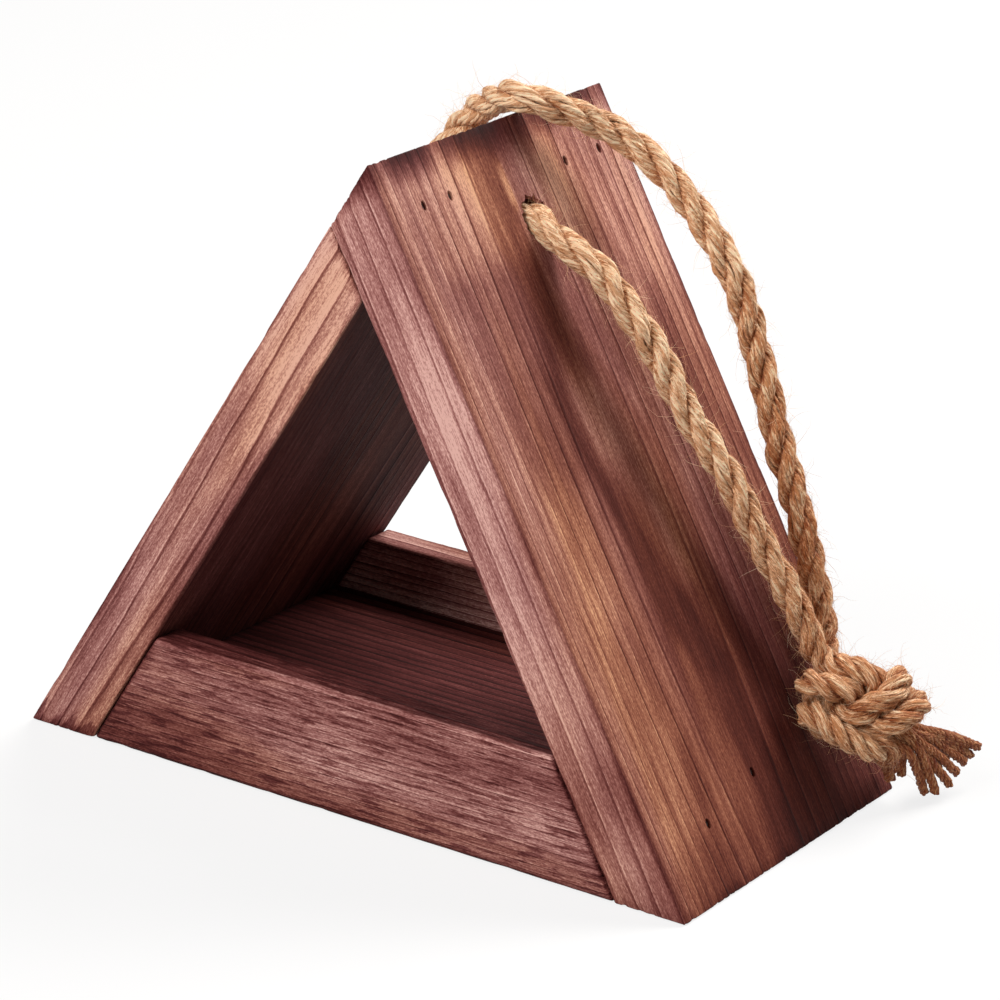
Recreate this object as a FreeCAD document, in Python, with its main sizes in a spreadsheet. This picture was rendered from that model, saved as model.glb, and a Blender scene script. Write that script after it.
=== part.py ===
import FreeCAD, Part
import math
import os

import Sketcher
from FreeCAD import Placement, Rotation, Vector

# Hanging bird feeder: two planed boards nailed into a triangle, a tray with two low rails between
# them, and a jute rope that runs through the ridge and ends in one doubled knot.
# Origin at the middle of the underside, X along the front, Y to the back, Z up, millimetres.

DIMENSIONS = [
    ("feeder_width", 230.0, "outer width of the triangle on the ground"),
    ("feeder_height", 195.0, "ground to the ridge"),
    ("board_width", 120.0, "width of the planed boards, which is the feeder's depth"),
    ("board_thickness", 20.0, "thickness of the two roof boards"),
    ("board_edge_round", 0.8, "eased edges of the roof boards and the floor"),
    ("floor_thickness", 20.0, "thickness of the floor board"),
    ("rail_height", 38.0, "ground to the top of a rail"),
    ("rail_thickness", 12.0, "thickness of a rail"),
    ("rail_edge_round", 2.2, "sanded round along the top of a rail"),
    ("joint_gap", 0.15, "glue line at the bevelled ends of the tray pieces"),
    ("rope_diameter", 10.0, "three-strand jute rope"),
    ("rope_clearance", 1.0, "rope bore wider than the rope"),
    ("rope_bore_drop", 27.0, "ridge down to the middle of the rope bore"),
    ("rope_bore_shift", 4.0, "rope bore behind the middle of the board"),
    ("brad_diameter", 1.3, "shank of a brad"),
    ("brad_head_diameter", 2.0, "head of a brad"),
    ("brad_head_height", 0.8, "thickness of a brad's head"),
    ("brad_set", 1.0, "head sunk below the face of the board"),
    ("brad_clearance", 0.05, "hole wider than the brad all round"),
    ("ridge_brad_length", 25.0, "brads that hold the ridge"),
    ("tray_brad_length", 30.0, "brads that hold the floor"),
    ("ridge_brad_drop_front", 16.0, "front ridge brads down the slope from the ridge"),
    ("ridge_brad_drop_back", 18.2, "back ridge brads down the slope from the ridge"),
    ("ridge_brad_front_outer", 17.0, "from the front edge"),
    ("ridge_brad_front_inner", 30.0, "from the front edge"),
    ("ridge_brad_back_inner", 32.0, "from the back edge"),
    ("ridge_brad_back_outer", 14.0, "from the back edge"),
    ("tray_brad_entry_front", 8.0, "where the front tray brads enter the floor's end, above the ground"),
    ("tray_brad_entry_middle", 13.0, "where the middle tray brads enter it"),
    ("tray_brad_front", 28.0, "from the front edge"),
    ("tray_brad_middle", 57.0, "from the front edge"),
    ("knot_length", 41.0, "doubled overhand knot, along its length"),
    ("knot_width", 29.0, "across the knot, along the roof"),
    ("knot_height", 28.0, "across the knot, off the roof"),
    ("tail_root_diameter", 11.0, "frayed rope end where it leaves the knot"),
    ("long_tail_length", 28.0, "frayed end that shows most"),
    ("long_tail_spread", 18.0, "across its fanned tips"),
    ("short_tail_length", 20.0, "frayed end under the knot"),
    ("short_tail_spread", 10.0, "across its tips"),
]

# Chosen points of the rope's two free legs after their bore mouths, and of the knot and the tails.
RIGHT_LEG = [
    (23.8, 4.0, 168.0),
    (32.4, 4.6, 163.4),
    (40.8, 6.4, 154.0),
    (49.0, 9.2, 141.8),
    (58.2, 13.2, 125.4),
    (68.2, 18.0, 106.4),
    (77.8, 23.4, 86.4),
    (86.6, 28.6, 67.0),
    (94.2, 32.8, 50.8),
    (99.2, 34.8, 39.8),
]
LEFT_LEG = [
    (-23.8, 4.0, 168.0),
    (-31.2, 4.2, 172.8),
    (-33.6, 4.6, 182.4),
    (-28.8, 5.6, 193.8),
    (-18.4, 8.0, 204.2),
    (-2.8, 12.0, 211.0),
    (14.0, 18.6, 209.2),
    (30.0, 27.2, 198.2),
    (43.6, 36.0, 180.6),
    (54.6, 42.8, 157.6),
    (62.8, 47.0, 132.6),
    (71.0, 48.8, 107.6),
    (80.2, 48.6, 83.4),
    (89.8, 47.2, 60.8),
    (97.8, 44.6, 42.8),
]
KNOT_CENTRE = Vector(112.6, 39.0, 34.0)
KNOT_AXIS = Vector(19.4, 32.6, -13.3)
LONG_TAIL_ROOT = Vector(118.6, 51.0, 25.0)
LONG_TAIL_AXIS = Vector(10.0, 21.0, -16.4)
SHORT_TAIL_ROOT = Vector(115.6, 40.0, 21.6)
SHORT_TAIL_AXIS = Vector(3.0, 10.4, -13.0)

doc = FreeCAD.newDocument("bird_feeder")
sheet = doc.addObject("Spreadsheet::Sheet", "dims")
for row, (alias, value, meaning) in enumerate(DIMENSIONS, start=1):
    sheet.set(f"A{row}", meaning)
    sheet.set(f"B{row}", str(value))
    sheet.setAlias(f"B{row}", alias)
doc.recompute()


def size(alias):
    return float(sheet.get(alias))


# Expressions that several pieces share
ROOF_ANGLE = "atan(2 * dims.feeder_height / dims.feeder_width)"
BOARD_LEVEL_CUT = f"dims.board_thickness / sin({ROOF_ANGLE})"
INNER_HALF_WIDTH = f"(dims.feeder_width / 2 - {BOARD_LEVEL_CUT})"
INNER_HEIGHT = f"(dims.feeder_height - dims.board_thickness / cos({ROOF_ANGLE}))"

roof_angle = math.atan2(size("feeder_height"), size("feeder_width") / 2)
half_depth = size("board_width") / 2
bore_height = size("feeder_height") - size("rope_bore_drop")
bore_mouth = size("rope_bore_drop") / math.tan(roof_angle)


def roof_normal(side):
    """Outward normal of a roof board's face; side is 1 for the right board and -1 for the left."""
    return Vector(side * math.sin(roof_angle), 0, math.cos(roof_angle))


def on_roof(side, height, depth):
    """Point on the outer face of a roof board at a height above the ground."""
    reach = (size("feeder_height") - height) / math.tan(roof_angle)
    return Vector(side * reach, depth, height)


def profile_blank(name, corners, length):
    """Body padded evenly to both sides of the XZ plane from an outline of corner expressions."""
    body = doc.addObject("PartDesign::Body", name)
    sketch = body.newObject("Sketcher::SketchObject", f"{name}_profile")
    plane = next(item for item in body.Origin.OriginFeatures if item.Role == "XZ_Plane")
    sketch.AttachmentSupport = [(plane, "")]
    sketch.MapMode = "FlatFace"
    count = len(corners)
    start_radius = size("board_width")
    turns = [2 * math.pi * index / count for index in range(count)]
    places = [Vector(math.cos(turn), math.sin(turn), 0) * start_radius for turn in turns]
    for index, place in enumerate(places):
        sketch.addGeometry(Part.LineSegment(place, places[(index + 1) % count]), False)
    for index in range(count):
        sketch.addConstraint(Sketcher.Constraint("Coincident", index, 2, (index + 1) % count, 1))
    for index, (corner, place) in enumerate(zip(corners, places)):
        for axis, value, start in zip("XY", corner, place):
            held = sketch.addConstraint(Sketcher.Constraint(f"Distance{axis}", -1, 1, index, 1, start))
            sketch.renameConstraint(held, f"corner_{index}_{axis.lower()}")
            sketch.setExpression(f"Constraints.corner_{index}_{axis.lower()}", value)
    pad = body.newObject("PartDesign::Pad", f"{name}_pad")
    pad.Profile = sketch
    pad.SideType = "Symmetric"
    pad.setExpression("Length", length)
    doc.recompute()
    return body


def round_edges(body, radius, chosen):
    """Fillet on the edges of the body's last feature that the test picks."""
    base = body.Tip
    names = [f"Edge{number}" for number, edge in enumerate(base.Shape.Edges, start=1) if chosen(edge)]
    fillet = body.newObject("PartDesign::Fillet", f"{body.Name}_round")
    fillet.Base = (base, names)
    fillet.setExpression("Radius", radius)
    doc.recompute()


def cylinder(name, radius, height, place):
    rod = doc.addObject("Part::Cylinder", name)
    rod.setExpression("Radius", radius)
    rod.setExpression("Height", height)
    rod.Placement = place
    return rod


def deeper(place, depth):
    """The same placement, moved along its own Z."""
    return place.multiply(Placement(Vector(0, 0, depth), Rotation()))


def stepped_pin(name, place, head_start, head_height, length, gap):
    """Head and shank on one axis: a brad when gap is 0, and its hole when gap is the clearance."""
    head = cylinder(
        f"{name}_head",
        f"dims.brad_head_diameter / 2 + {gap}",
        head_height,
        deeper(place, head_start),
    )
    shank = cylinder(
        f"{name}_shank",
        f"dims.brad_diameter / 2 + {gap}",
        f"{length} - dims.brad_head_height",
        deeper(place, size("brad_set") + size("brad_head_height")),
    )
    pin = doc.addObject("Part::Fuse", name)
    pin.Base = head
    pin.Tool = shank
    return pin


def group(name, members):
    gathered = doc.addObject("Part::Compound", name)
    gathered.Links = members
    return gathered


def cut_from(name, blank, tools):
    result = doc.addObject("Part::Cut", name)
    result.Base = blank
    result.Tool = group(f"{name}_tools", tools)
    return result


def rounded_path(points):
    """Straight runs joined by tangent arcs, each as large as its two runs allow."""
    edges = []
    radii = []
    last = points[0]
    for before, corner, after in zip(points, points[1:], points[2:]):
        back = before - corner
        ahead = after - corner
        half_turn = (math.pi - back.getAngle(ahead)) / 2
        reach = 0.45 * min(back.Length, ahead.Length)
        radius = reach / math.tan(half_turn)
        middle = back.normalize() + ahead.normalize()
        start = corner + back * reach
        end = corner + ahead * reach
        peak = corner + middle.normalize() * (radius / math.cos(half_turn) - radius)
        edges.append(Part.LineSegment(last, start).toShape())
        edges.append(Part.Arc(start, peak, end).toShape())
        radii.append(radius)
        last = end
    edges.append(Part.LineSegment(last, points[-1]).toShape())
    return Part.Wire(edges), radii


def rope_leg(name, points):
    """Plain tube along a leg of the rope."""
    path, radii = rounded_path(points)
    section = Part.Wire(Part.makeCircle(size("rope_diameter") / 2, points[0], points[1] - points[0]))
    tube = path.makePipeShell([section], True, False)
    expected = math.pi * size("rope_diameter") ** 2 / 4 * path.Length
    if abs(tube.Volume / expected - 1) > 0.005:
        raise ValueError(f"{name}: tube volume {tube.Volume:.0f}, section times length {expected:.0f}")
    print(f"{name}: length {path.Length:.1f} mm, radii {[round(radius, 1) for radius in radii]}")
    leg = doc.addObject("Part::Feature", name)
    leg.Shape = tube
    return leg


def along(root, axis):
    """Placement at a point with its Z along an axis."""
    return Placement(root, Rotation(Vector(0, 0, 1), axis))


# Roof boards: the right one runs up to the ridge and the left one butts against its inner face
RIDGE = ("0", "dims.feeder_height")
BUTT_TOP = (
    f"-dims.board_thickness / (2 * sin({ROOF_ANGLE}))",
    f"dims.feeder_height - dims.board_thickness / (2 * cos({ROOF_ANGLE}))",
)
BUTT_BOTTOM = ("0", INNER_HEIGHT)
right_blank = profile_blank(
    "right_blank",
    [("dims.feeder_width / 2", "0"), RIDGE, BUTT_TOP, (INNER_HALF_WIDTH, "0")],
    "dims.board_width",
)
left_blank = profile_blank(
    "left_blank",
    [("-dims.feeder_width / 2", "0"), BUTT_TOP, BUTT_BOTTOM, (f"-{INNER_HALF_WIDTH}", "0")],
    "dims.board_width",
)
for blank in (right_blank, left_blank):
    round_edges(blank, "dims.board_edge_round", lambda edge: True)


# Tray: a floor board between two rails, all with ends bevelled to the roof boards
def tray_piece(name, height, length):
    bottom = f"({INNER_HALF_WIDTH} - dims.joint_gap)"
    top = f"({bottom} - {height} / tan({ROOF_ANGLE}))"
    corners = [(f"-{bottom}", "0"), (bottom, "0"), (top, height), (f"-{top}", height)]
    return profile_blank(name, corners, length)


def along_rail_top(edge):
    box = edge.BoundBox
    return box.XLength > size("board_thickness") and box.ZMin > size("rail_height") - size("joint_gap")


floor_blank = tray_piece(
    "floor_blank", "dims.floor_thickness", "dims.board_width - 2 * dims.rail_thickness"
)
rails = {}
for name, side in (("front_rail", "-"), ("back_rail", "")):
    rails[name] = tray_piece(name, "dims.rail_height", "dims.rail_thickness")
    round_edges(rails[name], "dims.rail_edge_round", along_rail_top)
    rails[name].setExpression("Placement.Base.y", f"{side}(dims.board_width - dims.rail_thickness) / 2")

# Brads: two pairs through the right board into the left one's end, and two a side into the floor
ridge_places = [
    (size("ridge_brad_drop_front"), size("ridge_brad_front_outer") - half_depth),
    (size("ridge_brad_drop_front"), size("ridge_brad_front_inner") - half_depth),
    (size("ridge_brad_drop_back"), half_depth - size("ridge_brad_back_inner")),
    (size("ridge_brad_drop_back"), half_depth - size("ridge_brad_back_outer")),
]
tray_places = [
    (size("tray_brad_entry_front"), size("tray_brad_front") - half_depth),
    (size("tray_brad_entry_middle"), size("tray_brad_middle") - half_depth),
]


def nail(name, side, height, depth, length):
    """One brad, square to the board's face, and the hole that it sits in, open at the face."""
    place = along(on_roof(side, height, depth), -roof_normal(side))
    pin = stepped_pin(f"{name}_pin", place, size("brad_set"), "dims.brad_head_height", length, "0")
    hole = stepped_pin(
        f"{name}_hole",
        place,
        -size("brad_head_height"),
        "dims.brad_set + 2 * dims.brad_head_height",
        length,
        "dims.brad_clearance",
    )
    return pin, hole


ridge_nails = [
    nail(
        f"ridge_{number}",
        1,
        size("feeder_height") - drop * math.sin(roof_angle),
        depth,
        "dims.ridge_brad_length",
    )
    for number, (drop, depth) in enumerate(ridge_places)
]
board_rise = size("board_thickness") * math.cos(roof_angle)
tray_nails = {
    side: [
        nail(f"{word}_tray_{number}", side, entry + board_rise, depth, "dims.tray_brad_length")
        for number, (entry, depth) in enumerate(tray_places)
    ]
    for side, word in ((1, "right"), (-1, "left"))
}
ridge_holes = [hole for _, hole in ridge_nails]
tray_holes = {side: [hole for _, hole in nails] for side, nails in tray_nails.items()}

# Rope bore, drilled level through both boards below the ridge
level = Rotation(Vector(0, 0, 1), Vector(1, 0, 0))
bore_start = Vector(-size("feeder_width") / 2, size("rope_bore_shift"), bore_height)
rope_bore = cylinder(
    "rope_bore",
    "(dims.rope_diameter + dims.rope_clearance) / 2",
    "dims.feeder_width",
    Placement(bore_start, level),
)

# Rope: the stretch in the bore, two free legs, the knot that joins them and its two frayed tails
rope_in_ridge = cylinder(
    "rope_in_ridge",
    "dims.rope_diameter / 2",
    f"2 * dims.rope_bore_drop / tan({ROOF_ANGLE})",
    Placement(Vector(-bore_mouth, size("rope_bore_shift"), bore_height), level),
)
legs = {
    name: rope_leg(
        name,
        [Vector(side * bore_mouth, size("rope_bore_shift"), bore_height)] + [Vector(*p) for p in points],
    )
    for name, side, points in (("rope_leg_right", 1, RIGHT_LEG), ("rope_leg_left", -1, LEFT_LEG))
}


def rope_tail(name, root, axis, length, spread):
    tail = doc.addObject("Part::Cone", name)
    tail.setExpression("Radius1", "dims.tail_root_diameter / 2")
    tail.setExpression("Radius2", f"dims.{spread} / 2")
    tail.setExpression("Height", f"dims.{length}")
    tail.Placement = along(root, axis)
    return tail


tails = [
    rope_tail("rope_tail_long", LONG_TAIL_ROOT, LONG_TAIL_AXIS, "long_tail_length", "long_tail_spread"),
    rope_tail("rope_tail_short", SHORT_TAIL_ROOT, SHORT_TAIL_AXIS, "short_tail_length", "short_tail_spread"),
]
knot_blank = doc.addObject("Part::Ellipsoid", "knot_blank")
knot_blank.setExpression("Radius1", "dims.knot_length / 2")
knot_blank.setExpression("Radius2", "dims.knot_height / 2")
knot_blank.setExpression("Radius3", "dims.knot_width / 2")
knot_blank.Placement = Placement(KNOT_CENTRE, Rotation(roof_normal(1), Vector(), KNOT_AXIS, "ZXY"))

subparts = [
    cut_from("roof_board_right", right_blank, ridge_holes + tray_holes[1] + [rope_bore]),
    cut_from("roof_board_left", left_blank, ridge_holes + tray_holes[-1] + [rope_bore]),
    cut_from("floor_board", floor_blank, tray_holes[1] + tray_holes[-1]),
    *rails.values(),
    group("ridge_brads", [pin for pin, _ in ridge_nails]),
    group("tray_brads", [pin for nails in tray_nails.values() for pin, _ in nails]),
    rope_in_ridge,
    *legs.values(),
    cut_from("rope_knot", knot_blank, [*legs.values(), *tails]),
    *tails,
]
doc.recompute()

for item in doc.Objects:
    if "Invalid" in item.State or "Error" in item.State:
        raise RuntimeError(f"{item.Name} did not build: {item.State}")
for piece in subparts:
    if piece.Shape.isNull() or not piece.Shape.isValid():
        raise RuntimeError(f"{piece.Label} has no valid shape")

os.makedirs("parts", exist_ok=True)
for piece in subparts:
    piece.Shape.exportStep(os.path.join("parts", f"{piece.Label}.step"))
    print(f"{piece.Label}: {len(piece.Shape.Solids)} solids, {piece.Shape.Volume:.0f} cubic mm")
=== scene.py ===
import math

import bmesh
import bpy
import numpy as np
from mathutils import Matrix, Vector


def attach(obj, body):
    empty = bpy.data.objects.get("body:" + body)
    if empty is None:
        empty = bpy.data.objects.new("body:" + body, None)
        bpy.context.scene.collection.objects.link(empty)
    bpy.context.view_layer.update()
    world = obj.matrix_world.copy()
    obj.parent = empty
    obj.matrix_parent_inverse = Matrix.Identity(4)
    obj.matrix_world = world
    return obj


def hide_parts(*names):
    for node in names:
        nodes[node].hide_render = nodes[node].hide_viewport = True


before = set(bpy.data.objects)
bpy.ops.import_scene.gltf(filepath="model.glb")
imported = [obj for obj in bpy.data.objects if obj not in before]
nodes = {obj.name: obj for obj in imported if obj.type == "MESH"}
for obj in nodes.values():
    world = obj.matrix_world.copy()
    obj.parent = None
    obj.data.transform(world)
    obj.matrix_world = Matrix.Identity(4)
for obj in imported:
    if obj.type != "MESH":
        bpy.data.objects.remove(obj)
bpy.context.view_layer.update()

scene = bpy.context.scene

# Studio
# A plain pale floor, a large soft lamp high behind the feeder, a second one in front on the left,
# and a long lens that stands where the photograph was taken.
CAMERA_PLACE = (0.6599, -1.0234, 0.5259)
CAMERA_TURN = (69.91, -2.53, 33.34)
CAMERA_LENS = 159.8
CAMERA_SENSOR = 36.0
CAMERA_REACH = 20.0
FLOOR_HALF = 4.0
FLOOR_DROP = 0.0003
AIR_LIGHT = 0.12


def add_node(tree, kind, links=(), **settings):
    """New node with its settings, and each named input linked to a socket or set to a value."""
    made = tree.nodes.new(kind)
    for key, value in settings.items():
        setattr(made, key, value)
    for key, value in dict(links).items():
        if isinstance(value, bpy.types.NodeSocket):
            tree.links.new(value, made.inputs[key])
        else:
            made.inputs[key].default_value = value
    return made


def fresh_material(name):
    material = bpy.data.materials.new(name)
    material.use_nodes = True
    material.node_tree.nodes.clear()
    return material


def placed(name, data):
    """New object in the scene."""
    made = bpy.data.objects.new(name, data)
    scene.collection.objects.link(made)
    return made


def math_of(tree, operation, *values):
    return add_node(tree, "ShaderNodeMath", dict(enumerate(values)), operation=operation).outputs[0]


def seen_directly(tree):
    """1 for a ray that shows the background: straight from the camera, mirrored or through glass."""
    ray = add_node(tree, "ShaderNodeLightPath").outputs
    mirrored = math_of(tree, "MAXIMUM", ray["Is Camera Ray"], ray["Is Glossy Ray"])
    return math_of(tree, "MAXIMUM", mirrored, ray["Is Transmission Ray"])


def pale_floor():
    material = fresh_material("pale_floor")
    tree = material.node_tree
    lit = add_node(tree, "ShaderNodeBsdfDiffuse", {"Color": (0.8, 0.8, 0.8, 1)})
    bounced = add_node(tree, "ShaderNodeBsdfDiffuse", {"Color": (0.45, 0.45, 0.45, 1)})
    white = add_node(tree, "ShaderNodeEmission", {"Color": (1, 1, 1, 1), "Strength": 1.0})
    shown = add_node(tree, "ShaderNodeMixShader", {0: 0.2, 1: white.outputs[0], 2: lit.outputs[0]})
    either = add_node(
        tree, "ShaderNodeMixShader", {0: seen_directly(tree), 1: bounced.outputs[0], 2: shown.outputs[0]}
    )
    add_node(tree, "ShaderNodeOutputMaterial", {"Surface": either.outputs[0]})
    return material


def soft_lamp(name, place, aim, side, power, colour):
    data = bpy.data.lights.new(name, "AREA")
    data.shape = "SQUARE"
    data.size = side
    data.energy = power
    data.color = colour
    lamp = placed(name, data)
    lamp.location = place
    lamp.rotation_euler = (Vector(aim) - Vector(place)).to_track_quat("-Z", "Y").to_euler()


camera_data = bpy.data.cameras.new("camera")
camera_data.lens = CAMERA_LENS
camera_data.sensor_width = CAMERA_SENSOR
camera_data.clip_end = CAMERA_REACH
camera = placed("camera", camera_data)
camera.location = CAMERA_PLACE
camera.rotation_euler = [math.radians(turn) for turn in CAMERA_TURN]
scene.camera = camera

floor_mesh = bpy.data.meshes.new("studio_floor")
floor_corners = [
    (x * FLOOR_HALF, y * FLOOR_HALF, -FLOOR_DROP) for x, y in ((-1, -1), (1, -1), (1, 1), (-1, 1))
]
floor_mesh.from_pydata(floor_corners, [], [(0, 1, 2, 3)])
floor_mesh.materials.append(pale_floor())
studio_floor = placed("studio_floor", floor_mesh)

soft_lamp("lamp_behind", (0.45, 1.20, 1.40), (0.03, 0.0, 0.10), 1.00, 46.0, (1.0, 0.97, 0.94))
soft_lamp("lamp_front", (-0.30, -1.20, 1.05), (0.0, 0.0, 0.10), 0.80, 22.0, (1.0, 0.97, 0.95))

world = bpy.data.worlds.new("studio")
world.use_nodes = True
air_tree = world.node_tree
air_tree.nodes.clear()
air = add_node(air_tree, "ShaderNodeBackground", {"Color": (1, 1, 1, 1), "Strength": AIR_LIGHT})
paper = add_node(air_tree, "ShaderNodeBackground", {"Color": (1, 1, 1, 1), "Strength": 1.0})
either = {0: seen_directly(air_tree), 1: air.outputs[0], 2: paper.outputs[0]}
sky = add_node(air_tree, "ShaderNodeMixShader", either)
add_node(air_tree, "ShaderNodeOutputWorld", {"Surface": sky.outputs[0]})
scene.world = world
scene.view_settings.view_transform = "Standard"

# Roof boards
# Two planed pine boards, stained red-brown and rubbed back so that the growth rings stand out. The
# right one runs up to the ridge, the left one butts against it, and both are drilled for the rope.
FEEDER_WIDTH = 0.230
FEEDER_HEIGHT = 0.195
BOARD_WIDTH = 0.120
BOARD_THICKNESS = 0.020
BOARD_EDGE_ROUND = 0.0008
EDGE_WEAR = 0.0012
EDGE_NICKS = 0.0006
SHARP_ANGLE = math.radians(50)
ROOF_ANGLE = math.atan2(2 * FEEDER_HEIGHT, FEEDER_WIDTH)
BORE_HEIGHT = 0.168
BORE_SHIFT = 0.004
BORE_RADIUS = 0.0055
TORN_POINTS = 44
TORN_REACH = 0.0022
TORN_LIP = 0.0003
TORN_RIMS = [(-0.001, 1.0), (0.0004, 0.75), (0.0022, 0.0)]
BRAD_HOLE_RADIUS = 0.00105
BRAD_HOLE_STRETCH = 1.5
BRAD_HOLE_DEPTH = 0.0019
BRAD_SHANK_RADIUS = 0.0007
RIDGE_BRAD_LENGTH = 0.025
TRAY_BRAD_LENGTH = 0.030
CUTTER_START = 0.001
BORE_SIDES = 48
HEAD_SIDES = 16
SHANK_SIDES = 12

inner_half = FEEDER_WIDTH / 2 - BOARD_THICKNESS / math.sin(ROOF_ANGLE)
inner_height = FEEDER_HEIGHT - BOARD_THICKNESS / math.cos(ROOF_ANGLE)
butt_top = (
    -BOARD_THICKNESS / (2 * math.sin(ROOF_ANGLE)),
    FEEDER_HEIGHT - BOARD_THICKNESS / (2 * math.cos(ROOF_ANGLE)),
)
face_reach = FEEDER_WIDTH / 2 * math.sin(ROOF_ANGLE)
ridge_reach = FEEDER_HEIGHT * math.sin(ROOF_ANGLE)


def times(tree, first, second):
    return math_of(tree, "MULTIPLY", first, second)


def weighted(tree, value, weight, base):
    """A base with a weighted value added to it."""
    return math_of(tree, "MULTIPLY_ADD", value, weight, base)


def ease(tree, value, low, high):
    """0 below low and 1 above high, with a smooth step between; low may be the larger one."""
    made = add_node(
        tree,
        "ShaderNodeMapRange",
        {"Value": value, "From Min": low, "From Max": high},
        interpolation_type="SMOOTHSTEP",
    )
    return made.outputs["Result"]


def vector_of(tree, operation, first, second=None, scale=None, output=0):
    links = {0: first}
    if second is not None:
        links[1] = second
    if scale is not None:
        links["Scale"] = scale
    return add_node(tree, "ShaderNodeVectorMath", links, operation=operation).outputs[output]


def cloud(tree, vector, scale, detail=2.0, rough=0.5):
    """Noise between 0 and 1, with a scale of its own along each axis."""
    spot = vector_of(tree, "MULTIPLY", vector, scale)
    links = {"Vector": spot, "Scale": 1.0, "Detail": detail, "Roughness": rough}
    return add_node(tree, "ShaderNodeTexNoise", links).outputs[0]


def swing(tree, noise):
    """Noise moved down so that it swings about 0."""
    return math_of(tree, "SUBTRACT", noise, 0.5)


def mixed(tree, factor, first, second, blend="MIX"):
    links = {0: factor, 6: first, 7: second}
    return add_node(tree, "ShaderNodeMix", links, data_type="RGBA", blend_type=blend).outputs[2]


def surfaced(material, sockets):
    """The material with a principled surface that takes these sockets."""
    tree = material.node_tree
    surface = add_node(tree, "ShaderNodeBsdfPrincipled", sockets)
    add_node(tree, "ShaderNodeOutputMaterial", {"Surface": surface.outputs[0]})
    return material


def growth_rings(tree, place, board):
    """Grain of a board from a point in metres: millimetres along the grain and across it, the late wood,
    1 on the dark edge of a growth ring, and the pale start of the next ring, 1 just after that edge,
    which is partly the early wood's own colour and partly a painted highlight beside the raised late
    wood."""
    turned = add_node(
        tree,
        "ShaderNodeVectorRotate",
        {"Vector": place, "Angle": board["turn"]},
        rotation_type="Y_AXIS",
    ).outputs[0]
    local = vector_of(tree, "MULTIPLY", turned, (1000, 1000, 1000))
    moved = vector_of(tree, "ADD", local, (board["seed"], 0, 0))
    wander = cloud(tree, moved, (0.0026, 0.012, 0.012), 1.0)
    ripple = cloud(tree, moved, (0.014, 0.08, 0.08), 2.0)
    split = add_node(tree, "ShaderNodeSeparateXYZ", {0: local}).outputs
    across = math_of(tree, "SUBTRACT", split[1], board["pith"][0])
    deep = math_of(tree, "SUBTRACT", split[2], board["pith"][1])
    squares = weighted(tree, across, across, times(tree, deep, deep))
    radius = math_of(tree, "SQRT", squares)
    bent = weighted(tree, wander, board["wander"], radius)
    bent = weighted(tree, ripple, board["ripple"], bent)
    spot = add_node(tree, "ShaderNodeCombineXYZ", {0: bent, 1: board["seed"]}).outputs[0]
    uneven = cloud(tree, spot, (0.07, 1.0, 1.0), 1.0)
    bent = weighted(tree, uneven, board["uneven"], bent)
    turns = math_of(tree, "DIVIDE", bent, board["ring"])
    phase = math_of(tree, "FRACT", turns)
    year = add_node(
        tree, "ShaderNodeTexWhiteNoise", {"W": math_of(tree, "FLOOR", turns)}, noise_dimensions="1D"
    ).outputs["Value"]
    ramp = times(tree, ease(tree, phase, 0.40, 0.93), 0.3)
    dark = weighted(tree, ease(tree, phase, 0.85, 0.93), 0.7, ramp)
    dark = times(tree, dark, ease(tree, phase, 1.0, 0.96))
    return {
        "along": split[0],
        "y": split[1],
        "z": split[2],
        "moved": moved,
        "late": times(tree, dark, weighted(tree, year, 0.65, 0.35)),
        "early_wood_and_glint": ease(tree, phase, 0.16, 0.0),
        "year": year,
    }


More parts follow.
